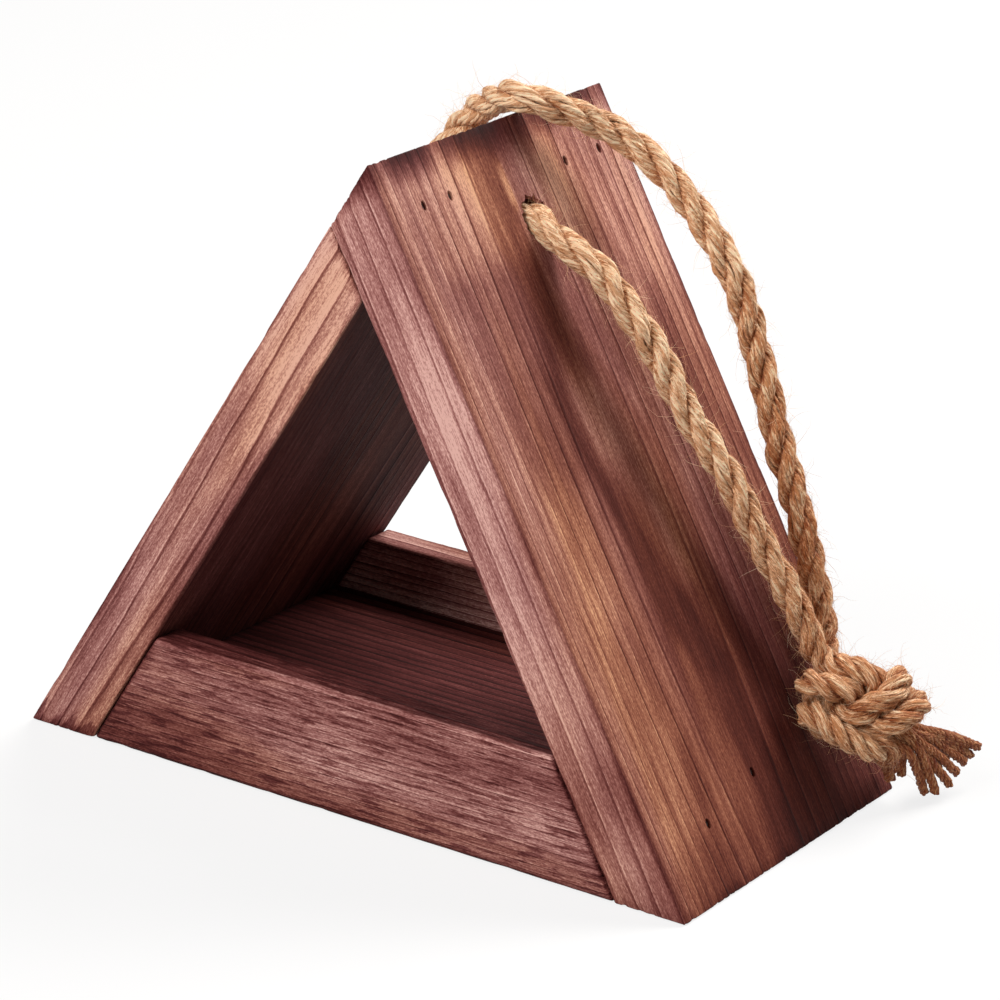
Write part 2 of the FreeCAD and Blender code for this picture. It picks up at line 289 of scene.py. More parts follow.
def stained_pine(board):
    """Red-brown stain on pine. Rings, fibres, pores and blotches add up to the depth of the stain, and
    each colour fades with depth at its own rate, so that deep stain is both darker and redder."""
    material = fresh_material(f"{board['name']}_stain")
    tree = material.node_tree
    place = add_node(tree, "ShaderNodeTexCoord").outputs["Object"]
    rings = growth_rings(tree, place, board)

    def grain(scale, detail, rough=0.5):
        return cloud(tree, rings["moved"], scale, detail, rough)

    blotch = grain((0.012, 0.05, 0.05), 3.0)
    hue = grain((0.006, 0.03, 0.03), 2.0)
    streak = grain((0.005, 0.28, 0.28), 3.0, 0.6)
    fibre = grain((0.07, 1.7, 1.7), 3.0, 0.7)
    stroke = grain((0.10, 2.4, 2.4), 2.0, 0.6)
    speck = grain((0.9, 2.8, 2.8), 2.0, 0.7)

    warmth = times(tree, ease(tree, hue, 0.36, 0.64), 0.7)
    warmth = weighted(tree, rings["year"], 0.1, warmth)
    warmth = math_of(tree, "ADD", warmth, board["warmth"])
    depth = weighted(tree, rings["late"], board["contrast"], board["stain"])
    # Paler just after each dark ring edge: partly early wood, partly a painted highlight beside the
    # raised late wood.
    depth = weighted(tree, rings["early_wood_and_glint"], -0.25, depth)
    depth = weighted(tree, ease(tree, stroke, 0.53, 0.66), board["pores"], depth)
    for field, weight in ((blotch, 2.0), (streak, 1.5), (fibre, 1.8), (speck, 2.2)):
        depth = weighted(tree, swing(tree, field), weight, depth)
    # The board's patches deepen or thin the stain; some of them are painted shadows, painted shade, a
    # painted sheen and a painted highlight.
    for mask, deeper, warmer in board["shades"](tree, rings):
        depth = weighted(tree, mask, deeper, depth)
        warmth = weighted(tree, mask, warmer, warmth)
    edge = add_node(tree, "ShaderNodeAttribute", attribute_name="edge").outputs["Fac"]
    rubbed = times(tree, math_of(tree, "SUBTRACT", blotch, 0.31), 5.0)
    depth = weighted(tree, edge, rubbed, depth)
    depth = math_of(tree, "MAXIMUM", depth, 0.0)
    fades = [math_of(tree, "EXPONENT", times(tree, depth, -rate)) for rate in STAIN_RATES]
    fade = add_node(tree, "ShaderNodeCombineColor", dict(enumerate(fades))).outputs[0]
    colour = mixed(tree, 1.0, mixed(tree, warmth, MAUVE_WOOD, ORANGE_WOOD), fade, "MULTIPLY")

    height = weighted(tree, fibre, 0.7, rings["late"])
    height = weighted(tree, speck, 0.35, height)
    bump = add_node(
        tree, "ShaderNodeBump", {"Height": height, "Strength": 0.5, "Distance": 0.0005}
    ).outputs[0]
    rough = weighted(tree, fibre, 0.25, 0.55)
    return surfaced(
        material,
        {"Base Color": colour, "Roughness": rough, "Normal": bump, "Specular IOR Level": 0.08},
    )


def edge_steps(length, step, edge_round):
    """Places of the mesh lines across a face: close together on the rounded edges, then even."""
    count = max(2, round((length - 2 * edge_round) / step))
    even = np.linspace(edge_round, length - edge_round, count + 1)
    near = edge_round * np.array([0.0, 0.35, 0.7])
    return np.concatenate([near, even, length - near[::-1]])


def board_blank(name, corners, depth, edge_round, steps):
    """Closed prism on a fine grid with eased edges. The four corners are X and Z of the bottom and
    top of the outer face and the top and bottom of the inner one; depth is its two ends in Y."""
    bottom, top, inner_top, inner_bottom = (np.array(corner) for corner in corners)
    lengths = (
        np.linalg.norm(top - bottom),
        depth[1] - depth[0],
        np.linalg.norm(inner_bottom - bottom),
    )
    lines = [edge_steps(length, step, edge_round) for length, step in zip(lengths, steps)]
    counts = [len(line) for line in lines]
    grid = np.stack(np.meshgrid(*[range(count) for count in counts], indexing="ij"), axis=-1)
    on_skin = ((grid == 0) | (grid == np.array(counts) - 1)).any(axis=-1)
    number = np.full(counts, -1)
    number[on_skin] = np.arange(on_skin.sum())
    spots = np.stack([line[grid[..., axis]] for axis, line in enumerate(lines)], axis=-1)[on_skin]

    middle = np.clip(spots, edge_round, np.array(lengths) - edge_round)
    away = spots - middle
    far = np.linalg.norm(away, axis=1, keepdims=True)
    spots = middle + edge_round * away / np.maximum(far, 1e-9)
    rise, across, inward = (spots / np.array(lengths)).T
    outer = bottom + rise[:, None] * (top - bottom)
    inner = inner_bottom + rise[:, None] * (inner_top - inner_bottom)
    flat = outer + inward[:, None] * (inner - outer)
    places = np.column_stack([flat[:, 0], depth[0] + across * lengths[1], flat[:, 1]])

    faces = []
    for axis in range(3):
        for end in (0, -1):
            sheet = np.moveaxis(number, axis, 0)[end]
            quads = np.stack([sheet[:-1, :-1], sheet[1:, :-1], sheet[1:, 1:], sheet[:-1, 1:]], axis=-1)
            faces.append(quads.reshape(-1, 4))
    mesh = bpy.data.meshes.new(name)
    mesh.from_pydata(places, [], np.concatenate(faces))
    edge = np.sort(np.minimum(spots, np.array(lengths) - spots), axis=1)[:, 1]
    worn = mesh.attributes.new("edge", "FLOAT", "POINT")
    worn.data.foreach_set("value", np.exp(-edge / EDGE_WEAR))
    shell = bmesh.new()
    shell.from_mesh(mesh)
    bmesh.ops.recalc_face_normals(shell, faces=shell.faces)
    shell.to_mesh(mesh)
    shell.free()
    return mesh


def node_group(name, inputs):
    """Empty geometry tree with a Geometry input, further named inputs and a Geometry output."""
    tree = bpy.data.node_groups.new(name, "GeometryNodeTree")
    tree.interface.new_socket("Geometry", in_out="INPUT", socket_type="NodeSocketGeometry")
    for label, kind in inputs:
        tree.interface.new_socket(label, in_out="INPUT", socket_type=kind)
    tree.interface.new_socket("Geometry", in_out="OUTPUT", socket_type="NodeSocketGeometry")
    return tree


def finish_tree(tree, geometry, material):
    """Ends a geometry tree with its instances made real and a material on them."""
    real = add_node(tree, "GeometryNodeRealizeInstances", {"Geometry": geometry}).outputs[0]
    dressed = add_node(tree, "GeometryNodeSetMaterial", {"Geometry": real, "Material": material})
    add_node(tree, "NodeGroupOutput", {"Geometry": dressed.outputs[0]})


def evaluated_mesh(maker):
    """Plain mesh of an object as its modifiers leave it."""
    ready = maker.evaluated_get(bpy.context.evaluated_depsgraph_get())
    return bpy.data.meshes.new_from_object(ready)


def plain_mesh(name, mesh, tree, values):
    """Mesh that a geometry tree makes of another mesh, with the tree's inputs set by identifier."""
    maker = placed(f"{name}_maker", mesh)
    modifier = maker.modifiers.new(tree.name, "NODES")
    modifier.node_group = tree
    for item in tree.interface.items_tree:
        if item.in_out == "INPUT" and item.name in values:
            modifier[item.identifier] = values[item.name]
    result = evaluated_mesh(maker)
    result.name = name
    bpy.data.objects.remove(maker)
    return result


def named(tree, name, kind="FLOAT"):
    return add_node(
        tree, "GeometryNodeInputNamedAttribute", {"Name": name}, data_type=kind
    ).outputs["Attribute"]


def raised_grain(board, material):
    """Tree that sinks the soft wood between the growth rings and nicks the edges a little."""
    tree = node_group(
        f"{board['name']}_grain", [("Relief", "NodeSocketFloat"), ("Nicks", "NodeSocketFloat")]
    )
    start = add_node(tree, "NodeGroupInput").outputs
    place = add_node(tree, "GeometryNodeInputPosition").outputs[0]
    normal = add_node(tree, "GeometryNodeInputNormal").outputs[0]
    rings = growth_rings(tree, place, board)
    fibre = cloud(tree, rings["moved"], (0.04, 0.9, 0.9), 2.0)
    soft = math_of(tree, "SUBTRACT", 1.0, rings["late"])
    soft = times(tree, weighted(tree, fibre, 0.6, 0.4), soft)
    sunk = times(tree, soft, start["Relief"])
    chips = cloud(tree, rings["moved"], (0.12, 0.5, 0.5), 3.0, 0.6)
    chips = times(tree, ease(tree, chips, 0.48, 0.72), named(tree, "edge"))
    sunk = weighted(tree, chips, start["Nicks"], sunk)
    inward = vector_of(tree, "SCALE", normal, scale=times(tree, sunk, -1.0))
    moved = add_node(
        tree, "GeometryNodeSetPosition", {"Geometry": start["Geometry"], "Offset": inward}
    ).outputs[0]
    smooth = add_node(tree, "GeometryNodeSetShadeSmooth", {"Geometry": moved}).outputs[0]
    finish_tree(tree, smooth, material)
    return tree


def cutter_mesh(cutter):
    mesh = bpy.data.meshes.new("cutter")
    cutter.to_mesh(mesh)
    cutter.free()
    return mesh


def drill(start, direction, length, radius, sides):
    """Round cutter from a start point along a direction."""
    cutter = bmesh.new()
    turn = Vector(direction).to_track_quat("Z", "Y").to_matrix().to_4x4()
    middle = Vector(start) + Vector(direction).normalized() * (length / 2)
    bmesh.ops.create_cone(
        cutter,
        cap_ends=True,
        segments=sides,
        radius1=radius,
        radius2=radius,
        depth=length,
        matrix=Matrix.Translation(middle) @ turn,
    )
    return cutter_mesh(cutter)


def torn_mouth(side):
    """Ragged cutter for the mouth of the rope's bore, where the drill tore splinters off the face."""
    middle = on_roof(side, BORE_HEIGHT, BORE_SHIFT)
    inward = -roof_normal(side)
    down = Vector((side * math.cos(ROOF_ANGLE), 0, -math.sin(ROOF_ANGLE)))
    cutter = bmesh.new()
    rims = []
    for depth, spread in TORN_RIMS:
        rim = []
        for number in range(TORN_POINTS):
            turn = 2 * math.pi * number / TORN_POINTS
            tear = 0.5 + 0.5 * math.sin(7.0 * number) * math.cos(2.3 * number)
            torn = TORN_REACH * tear * (1.6 - math.cos(turn)) / 2
            reach = BORE_RADIUS - TORN_LIP + spread * (TORN_LIP + torn)
            across = Vector((0, reach * math.sin(turn), 0))
            along = down * reach * math.cos(turn) / math.sin(ROOF_ANGLE)
            rim.append(cutter.verts.new(middle + across + along + inward * depth))
        rims.append(rim)
    for upper, lower in zip(rims[:-1], rims[1:]):
        for number in range(TORN_POINTS):
            after = (number + 1) % TORN_POINTS
            cutter.faces.new((upper[number], upper[after], lower[after], lower[number]))
    cutter.faces.new(rims[0])
    cutter.faces.new(rims[-1])
    bmesh.ops.recalc_face_normals(cutter, faces=cutter.faces)
    return cutter_mesh(cutter)


def drilled(mesh, cutters):
    """Mesh with every cutter taken out of it."""
    blank = placed("drilled_blank", mesh)
    tools = [placed("drill", cutter) for cutter in cutters]
    for tool in tools:
        cut = blank.modifiers.new("drill", "BOOLEAN")
        cut.operation = "DIFFERENCE"
        cut.solver = "EXACT"
        cut.object = tool
    result = evaluated_mesh(blank)
    for made in (blank, *tools):
        bpy.data.objects.remove(made)
    return result


def finish_board(board, cutters=()):
    """The board's detailed mesh in place of its plain solid."""
    material = stained_pine(board)
    blank = board_blank(
        board["name"], board["corners"], board["depth"], board["edge_round"], board["steps"]
    )
    mesh = plain_mesh(
        board["name"],
        blank,
        raised_grain(board, material),
        {"Relief": board["relief"], "Nicks": EDGE_NICKS},
    )
    if cutters:
        mesh = drilled(mesh, cutters)
    mesh.set_sharp_from_angle(angle=SHARP_ANGLE)
    piece = placed(f"{board['name']}_planed", mesh)
    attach(piece, "root")
    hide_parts(board["name"])


def on_roof(side, height, depth, off=0.0):
    """Point off the outer face of a roof board at a height above the floor."""
    reach = (FEEDER_HEIGHT - height) / math.tan(ROOF_ANGLE)
    return Vector((side * reach, depth, height)) + off * roof_normal(side)


def roof_normal(side):
    return Vector((side * math.sin(ROOF_ANGLE), 0, math.cos(ROOF_ANGLE)))


def brad_cutters(side, height, depth, length):
    """Sunk head and shank of one brad."""
    start = on_roof(side, height, depth, CUTTER_START)
    inward = -roof_normal(side)
    slope = Matrix.Rotation(side * ROOF_ANGLE, 4, "Y")
    longer = Matrix.Translation(start) @ slope @ Matrix.Diagonal((BRAD_HOLE_STRETCH, 1, 1, 1))
    head = drill(start, inward, CUTTER_START + BRAD_HOLE_DEPTH, BRAD_HOLE_RADIUS, HEAD_SIDES)
    head.transform(longer @ slope.inverted() @ Matrix.Translation(-start))
    shank = drill(start, inward, length + 2 * CUTTER_START, BRAD_SHANK_RADIUS, SHANK_SIDES)
    return [head, shank]


def inside_shade(tree, rings):
    """1 on a roof board's inner face, which is darkened as painted shade of the feeder's inside, and 0 on
    its ends.
    """
    inner = (face_reach - BOARD_THICKNESS) * 1000
    back = ease(tree, rings["y"], -59.5, -57.5)
    return times(tree, ease(tree, rings["z"], inner + 0.9, inner + 0.3), back)


def band(tree, value, middle, half, soft):
    """1 within half a width of the middle, and 0 past a soft border."""
    off = math_of(tree, "ABSOLUTE", math_of(tree, "SUBTRACT", value, middle))
    return ease(tree, off, half + soft, half)


# Small patches of the right board: middle, half width and soft border in millimetres, first from side to
# side and then down from the ridge, and how much deeper and how much warmer the colour is there.
SMALL_PATCHES = [
    ((-30.0, 14.0, 6.0), (22.0, 10.0, 12.0), -0.52, 0.2),
    # Painted light, which lifts the rope's cast shadow just under the ridge.
    ((21.0, 7.0, 6.0), (24.0, 8.0, 12.0), -0.30, 0.0),
    ((-24.0, 4.0, 4.0), (87.0, 10.0, 14.0), 0.30, 0.1),
    ((-10.0, 4.0, 4.0), (87.0, 10.0, 12.0), -0.45, 0.0),
    ((-38.0, 5.0, 5.0), (122.0, 14.0, 16.0), -0.35, 0.1),
    ((-38.0, 4.0, 5.0), (191.0, 8.0, 14.0), -0.30, 0.1),
    ((-24.0, 4.0, 4.0), (191.0, 6.0, 10.0), 0.30, 0.0),
    ((-7.0, 5.0, 5.0), (60.0, 12.0, 14.0), 0.40, 0.1),
    ((52.0, 8.0, 8.0), (92.0, 22.0, 22.0), 0.38, -0.15),
    ((-7.0, 5.0, 5.0), (135.0, 16.0, 16.0), 0.30, 0.1),
    ((3.0, 4.0, 4.0), (157.0, 8.0, 12.0), 0.40, 0.0),
    ((-18.0, 4.0, 4.0), (104.0, 8.0, 10.0), 0.25, 0.0),
    ((1.0, 3.0, 4.0), (90.0, 8.0, 10.0), -0.35, -0.1),
]


def right_shades(tree, rings):
    """Patches of the right board, with how much deeper and how much warmer the colour is in each: stain,
    painted shadows of the rope and the knot, a painted sheen, painted light under the ridge and painted
    shade on the inner face.
    """

    def where(first, second):
        return times(tree, first, second)

    ridge = math_of(tree, "ADD", rings["along"], ridge_reach * 1000)
    drift = cloud(tree, rings["moved"], (0.014, 0.05, 0.05), 2.0)
    across = weighted(tree, swing(tree, drift), 22.0, rings["y"])
    near = weighted(tree, swing(tree, drift), 7.0, rings["y"])
    slant = weighted(tree, ridge, -0.18, across)
    front_strip = where(ease(tree, across, -44.0, -53.0), ease(tree, ridge, 150.0, 80.0))
    # Painted sheen: the upper back of the face paler and more mauve.
    back_sheen = where(ease(tree, across, 24.0, 42.0), ease(tree, ridge, 100.0, 40.0))
    ridge_line = where(ease(tree, ridge, 11.0, 0.5), ease(tree, drift, 0.24, 0.50))
    # Dark patch under the ridge: partly stain, partly painted shadow of the rope where it crosses the
    # ridge.
    ridge_stain_and_rope_shadow = where(band(tree, near, 5.0, 8.0, 6.0), ease(tree, ridge, 17.0, 4.0))
    back_line = band(tree, rings["y"], 59.3, 0.3, 0.4)
    beside_bore = where(band(tree, near, -11.0, 4.0, 6.0), ease(tree, ridge, 100.0, 40.0))
    brown_heart = where(band(tree, across, -27.0, 11.0, 9.0), band(tree, ridge, 75.0, 35.0, 30.0))
    # Two painted shadows of the rope's right leg, falling to its left down the face.
    far_rope_shadow = where(band(tree, slant, -32.0, 3.0, 5.0), ease(tree, ridge, 60.0, 85.0))
    near_rope_shadow = where(band(tree, slant, -12.0, 4.0, 6.0), ease(tree, ridge, 45.0, 70.0))
    # Painted shadow of the knot on the lower face, with darker stain there as well.
    knot_shadow_and_stain = where(ease(tree, ridge, 118.0, 185.0), ease(tree, across, -16.0, 3.0))
    low_front = where(ease(tree, ridge, 80.0, 170.0), ease(tree, across, 25.0, -10.0))
    lower_front = where(ease(tree, ridge, 140.0, 195.0), ease(tree, across, 0.0, -15.0))
    bare_streak = where(band(tree, rings["y"], -3.6, 0.7, 1.2), band(tree, ridge, 19.0, 4.0, 5.0))
    foot = where(ease(tree, ridge, 200.0, 224.0), ease(tree, across, 54.0, 42.0))
    front_edge = ease(tree, rings["y"], -59.1, -59.7)
    small = [
        (where(band(tree, near, *side), band(tree, ridge, *drop)), deeper, warmer)
        for side, drop, deeper, warmer in SMALL_PATCHES
    ]
    return [
        (front_strip, -0.15, 0.1),
        (back_sheen, -0.35, -0.35),
        (ridge_line, 1.4, -0.2),
        (ridge_stain_and_rope_shadow, 1.0, 0.0),
        (back_line, 0.9, -0.2),
        (beside_bore, 0.65, 0.3),
        (brown_heart, 0.30, 0.1),
        (far_rope_shadow, 0.50, 0.2),
        (near_rope_shadow, 0.40, 0.2),
        (knot_shadow_and_stain, 1.0, 0.1),
        (low_front, 0.15, 0.5),
        (lower_front, 0.10, 0.0),
        *small,
        (bare_streak, -0.6, 1.2),
        (foot, 0.5, 0.0),
        (front_edge, -0.05, -0.6),
        (where(front_edge, band(tree, ridge, 115.0, 40.0, 40.0)), -0.55, 0.0),
        (where(front_edge, ease(tree, ridge, 70.0, 25.0)), 0.15, 0.0),
        (where(front_edge, ease(tree, ridge, 60.0, 120.0)), -0.02, 0.12),
        (where(front_edge, ease(tree, ridge, 190.0, 210.0)), -0.38, 0.0),
        (inside_shade(tree, rings), 0.8, -0.2),
    ]


def left_shades(tree, rings):
    """Patches of the left board: the upper front end paler as painted light, the foot darker, and the
    inner face darker as painted shade.
    """
    front = ease(tree, rings["y"], -58.6, -59.6)
    # Painted light: the upper part of the front end paler, as if lit from high in front.
    painted_light_top = times(tree, ease(tree, rings["along"], 55.0, 115.0), front)
    rise = times(tree, rings["z"], math.cos(ROOF_ANGLE))
    rise = weighted(tree, rings["along"], math.sin(ROOF_ANGLE), rise)
    soaked = cloud(tree, rings["moved"], (0.03, 0.35, 0.35), 2.0)
    rise = weighted(tree, math_of(tree, "SUBTRACT", soaked, 0.45), -26.0, rise)
    return [
        (painted_light_top, -0.75, -0.05),
        (front, -0.12, -0.04),
        (times(tree, front, ease(tree, rings["along"], 10.0, -70.0)), -0.20, 0.0),
        (ease(tree, rise, 3.5, 1.5), 0.85, -0.2),
        (inside_shade(tree, rings), 1.0, -0.2),
    ]


MAUVE_WOOD = (0.73, 0.430, 0.375, 1)
ORANGE_WOOD = (0.77, 0.412, 0.233, 1)
STAIN_RATES = (1.0, 1.45, 1.42)
right_board = {
    "name": "roof_board_right",
    "slot": "stained_wood",
    "corners": [
        (FEEDER_WIDTH / 2, 0.0),
        (0.0, FEEDER_HEIGHT),
        butt_top,
        (inner_half, 0.0),
    ],
    "depth": (-BOARD_WIDTH / 2, BOARD_WIDTH / 2),
    "edge_round": BOARD_EDGE_ROUND,
    "steps": (0.003, 0.0005, 0.0005),
    "turn": -ROOF_ANGLE,
    "pith": (-4.0, face_reach * 1000 - 40.0),
    "ring": 2.9,
    "wander": 9.0,
    "ripple": 0.9,
    "uneven": 5.0,
    "seed": 40.0,
    "stain": 0.80,
    "warmth": 0.15,
    "contrast": 1.25,
    "pores": 0.25,
    "relief": 0.00009,
    "shades": right_shades,
}
left_board = {
    **right_board,
    "name": "roof_board_left",
    "corners": [(-FEEDER_WIDTH / 2, 0.0), butt_top, (0.0, inner_height), (-inner_half, 0.0)],
    "turn": ROOF_ANGLE,
    "pith": (14.0, face_reach * 1000 - 52.0),
    "wander": 14.0,
    "ripple": 1.8,
    "seed": 310.0,
    "stain": 0.76,
    "warmth": 0.0,
    "shades": left_shades,
}
RIDGE_BRADS = [(16.0, -43.0), (16.0, -30.0), (18.2, 28.0), (18.2, 46.0)]
TRAY_BRADS = [(8.0, -32.0), (13.0, -3.0)]
bore_start = (-FEEDER_WIDTH / 2, BORE_SHIFT, BORE_HEIGHT)
bore = drill(bore_start, (1, 0, 0), FEEDER_WIDTH, BORE_RADIUS, BORE_SIDES)
ridge_cutters = [
    cutter
    for drop, depth in RIDGE_BRADS
    for cutter in brad_cutters(
        1, FEEDER_HEIGHT - drop * 0.001 * math.sin(ROOF_ANGLE), depth * 0.001, RIDGE_BRAD_LENGTH
    )
]
board_rise = BOARD_THICKNESS * math.cos(ROOF_ANGLE)
tray_cutters = {
    side: [
        cutter
        for entry, depth in TRAY_BRADS
        for cutter in brad_cutters(side, entry * 0.001 + board_rise, depth * 0.001, TRAY_BRAD_LENGTH)
    ]
    for side in (1, -1)
}
for board, side in ((right_board, 1), (left_board, -1)):
    finish_board(board, [bore, torn_mouth(side), *ridge_cutters, *tray_cutters[side]])

# Tray
# A floor board between two low rails, all with ends bevelled to the roof boards. The rails' top edges
# are sanded round, and the grain of all three runs from side to side.
FLOOR_THICKNESS = 0.020
RAIL_HEIGHT = 0.038
RAIL_THICKNESS = 0.012
RAIL_EDGE_ROUND = 0.0016
JOINT_GAP = 0.00015


def tray_corners(height):
    bottom = inner_half - JOINT_GAP
    top = bottom - height / math.tan(ROOF_ANGLE)
    return [(-bottom, 0.0), (bottom, 0.0), (top, height), (-top, height)]


def tray_shades(tree, rings):
    """Patches of the tray: dark along the floor and in the joints with the roof boards, darker inside as
    painted shade, and a painted highlight on the front rail's top arris.
    """
    side = math_of(tree, "ABSOLUTE", rings["along"])
    end = weighted(tree, rings["z"], 1 / math.tan(ROOF_ANGLE), side)
    drift = cloud(tree, rings["moved"], (0.04, 0.14, 0.14), 3.0)
    height = weighted(tree, swing(tree, drift), 34.0, rings["z"])
    left = ease(tree, rings["along"], -10.0, -75.0)
    corner = times(tree, left, ease(tree, height, 22.0, 6.0))
    top = band(tree, rings["y"], -53.0, 4.6, 1.2)
    top = times(tree, top, ease(tree, rings["z"], 37.2, 37.8))
    in_front = ease(tree, rings["y"], -47.6, -48.4)
    # Painted shade of the feeder's inside on the front and left of the floor.
    inside = times(tree, ease(tree, rings["y"], 30.0, -40.0), ease(tree, rings["y"], -48.4, -47.6))
    inside = times(tree, inside, ease(tree, rings["along"], 30.0, -50.0))
    dashes = cloud(tree, rings["moved"], (0.09, 0.75, 0.75), 3.0, 0.6)
    # Painted highlight on the rounded top front edge of the front rail.
    arris_highlight = ease(tree, rings["y"], -57.5, -59.0)
    arris_highlight = times(tree, arris_highlight, ease(tree, rings["z"], 36.2, 37.4))
    return [
        (arris_highlight, -0.45, -0.2),
        (ease(tree, rings["z"], 6.0, 0.0), 0.25, 0.0),
        (ease(tree, rings["z"], 1.8, 0.3), 0.8, -0.2),
        (ease(tree, rings["along"], 15.0, 60.0), 0.12, -0.1),
        (times(tree, band(tree, rings["along"], 20.0, 25.0, 30.0), in_front), -0.18, -0.1),
        (corner, 0.9, -0.2),
        (top, 1.15, -0.3),
        (inside, 0.8, 0.0),
        (times(tree, ease(tree, dashes, 0.50, 0.62), in_front), 0.85, -0.3),
        (ease(tree, end, inner_half * 1000 - 1.8, inner_half * 1000 - 0.3), 0.9, 0.0),
        # Painted shade of the feeder's inside: everything behind the front rail darker.
        (ease(tree, rings["y"], -50.0, -47.5), 0.45, 0.0),
    ]


front_rail = {
    **right_board,
    "name": "front_rail",
    "slot": "tray_wood",
    "corners": tray_corners(RAIL_HEIGHT),
    "depth": (-BOARD_WIDTH / 2, -BOARD_WIDTH / 2 + RAIL_THICKNESS),
    "edge_round": RAIL_EDGE_ROUND,
    "steps": (0.003, 0.0006, 0.0006),
    "turn": 0.0,
    "pith": (-30.0, -58.0),
    "ring": 2.4,
    "wander": 6.0,
    "ripple": 1.2,
    "uneven": 3.0,
    "seed": 620.0,
    "stain": 0.64,
    "warmth": -0.26,
    "contrast": 0.85,
    "pores": 0.65,
    "relief": 0.00008,
    "shades": tray_shades,
}
back_rail = {
    **front_rail,
    "name": "back_rail",
    "depth": (BOARD_WIDTH / 2 - RAIL_THICKNESS, BOARD_WIDTH / 2),
    "pith": (20.0, -52.0),
    "seed": 905.0,
    "stain": -0.25,
    "warmth": -0.05,
    "contrast": 2.2,
    "pores": 0.2,
}
floor_board = {
    **front_rail,
    "name": "floor_board",
    "corners": tray_corners(FLOOR_THICKNESS),
    "depth": (-BOARD_WIDTH / 2 + RAIL_THICKNESS, BOARD_WIDTH / 2 - RAIL_THICKNESS),
    "edge_round": BOARD_EDGE_ROUND,
    "pith": (90.0, -12.0),
    "ring": 3.6,
    "seed": 1210.0,
    # The floor's deep stain is partly painted shade of the feeder's inside.
    "stain": 1.82,
    "warmth": -0.25,
    "contrast": 3.8,
    "pores": 0.4,
}
finish_board(front_rail)
finish_board(back_rail)
finish_board(floor_board, tray_cutters[1] + tray_cutters[-1])

# Brads
# Eight thin steel brads, punched just below the faces: four through the ridge joint and two through
# the foot of each roof board into the floor's ends. Their heads are dull and stained.
BARE_STEEL = (0.20, 0.185, 0.18, 1)
STAINED_STEEL = (0.075, 0.036, 0.026, 1)


def dull_steel():
    material = fresh_material("dull_steel")
    tree = material.node_tree
    place = add_node(tree, "ShaderNodeTexCoord").outputs["Object"]
    stain = cloud(tree, place, (900, 900, 900), 3.0, 0.6)
    scratch = cloud(tree, place, (4200, 4200, 4200), 2.0)
    colour = mixed(tree, ease(tree, stain, 0.42, 0.62), BARE_STEEL, STAINED_STEEL)
    metal = ease(tree, stain, 0.62, 0.42)
    rough = weighted(tree, scratch, 0.4, 0.25)
    return surfaced(material, {"Base Color": colour, "Metallic": metal, "Roughness": rough})


steel = dull_steel()
for brads in ("ridge_brads", "tray_brads"):
    for brad_slot in nodes[brads].material_slots:
        brad_slot.material = steel

# Rope
# One length of three-strand jute rope, 10 mm thick and laid right-handed. It is threaded through the
# bore under the ridge, and both legs come down over the right board to one doubled knot.
ROPE_STRANDS = 3
STRAND_YARNS = 11
STRAND_REACH = 0.0022
YARN_REACH = 0.00180
YARN_RADIUS = 0.00069
LAY_RATE = 2 * math.pi / 35.0
YARN_RATE = -2 * math.pi / 38.0
KNOT_LAY_RATE = 2 * math.pi / 18.0
KNOT_YARN_RATE = 2 * math.pi / 40.0
KNOT_GIRTH = 0.86
ROPE_TONES = (0.76, 1.40)
SPLICE = 4
SPLICE_GIRTH = 0.88
LAY_BLEND = 8
BORE_ROUTE = [(15.92, 4.0, 168.0), (6.0, 4.2, 168.0), (-5.0, 3.8, 168.0), (-15.92, 4.0, 168.0)]
RIGHT_ROUTE = [
    (15.92, 4.0, 168.0),
    (18.8, 3.4, 166.8),
    (23.2, 3.2, 164.2),
    (30.0, 4.2, 160.8),
    (36.8, 6.0, 156.6),
    (44.2, 8.0, 147.3),
    (49.0, 10.0, 140.9),
    (54.8, 13.0, 130.7),
    (59.3, 15.5, 120.7),
    (64.6, 17.5, 112.0),
    (73.0, 21.5, 99.7),
    (79.0, 24.5, 87.9),
    (83.5, 27.0, 78.0),
    (88.7, 30.0, 68.5),
    (93.4, 32.5, 59.3),
    (97.5, 34.5, 49.7),
]
LEFT_ROUTE = [
    (-15.92, 4.0, 168.0),
    (-22.0, 5.0, 167.2),
    (-29.4, 12.0, 166.6),
    (-32.2, 22.0, 171.6),
    (-28.2, 27.8, 181.0),
    (-19.2, 24.6, 190.4),
    (-10.0, 18.8, 196.0),
    (-2.4, 15.2, 199.4),
    (4.0, 15.2, 199.6),
    (9.0, 19.0, 197.4),
    (12.6, 25.0, 194.6),
    (16.8, 31.4, 191.6),
    (21.6, 36.4, 188.0),
    (28.2, 39.6, 183.0),
    (35.2, 42.0, 177.0),
    (43.8, 44.0, 168.2),
    (50.1, 45.0, 160.1),
    (56.4, 46.0, 151.4),
    (60.8, 47.0, 142.0),
    (64.0, 48.0, 131.4),
    (67.8, 48.0, 121.7),
    (71.3, 48.0, 111.6),
    (74.8, 48.0, 101.6),
    (79.0, 48.0, 92.0),
    (82.9, 48.0, 82.2),
    (86.4, 48.0, 72.2),
    (90.6, 47.5, 60.9),
    (94.4, 47.0, 49.3),
]
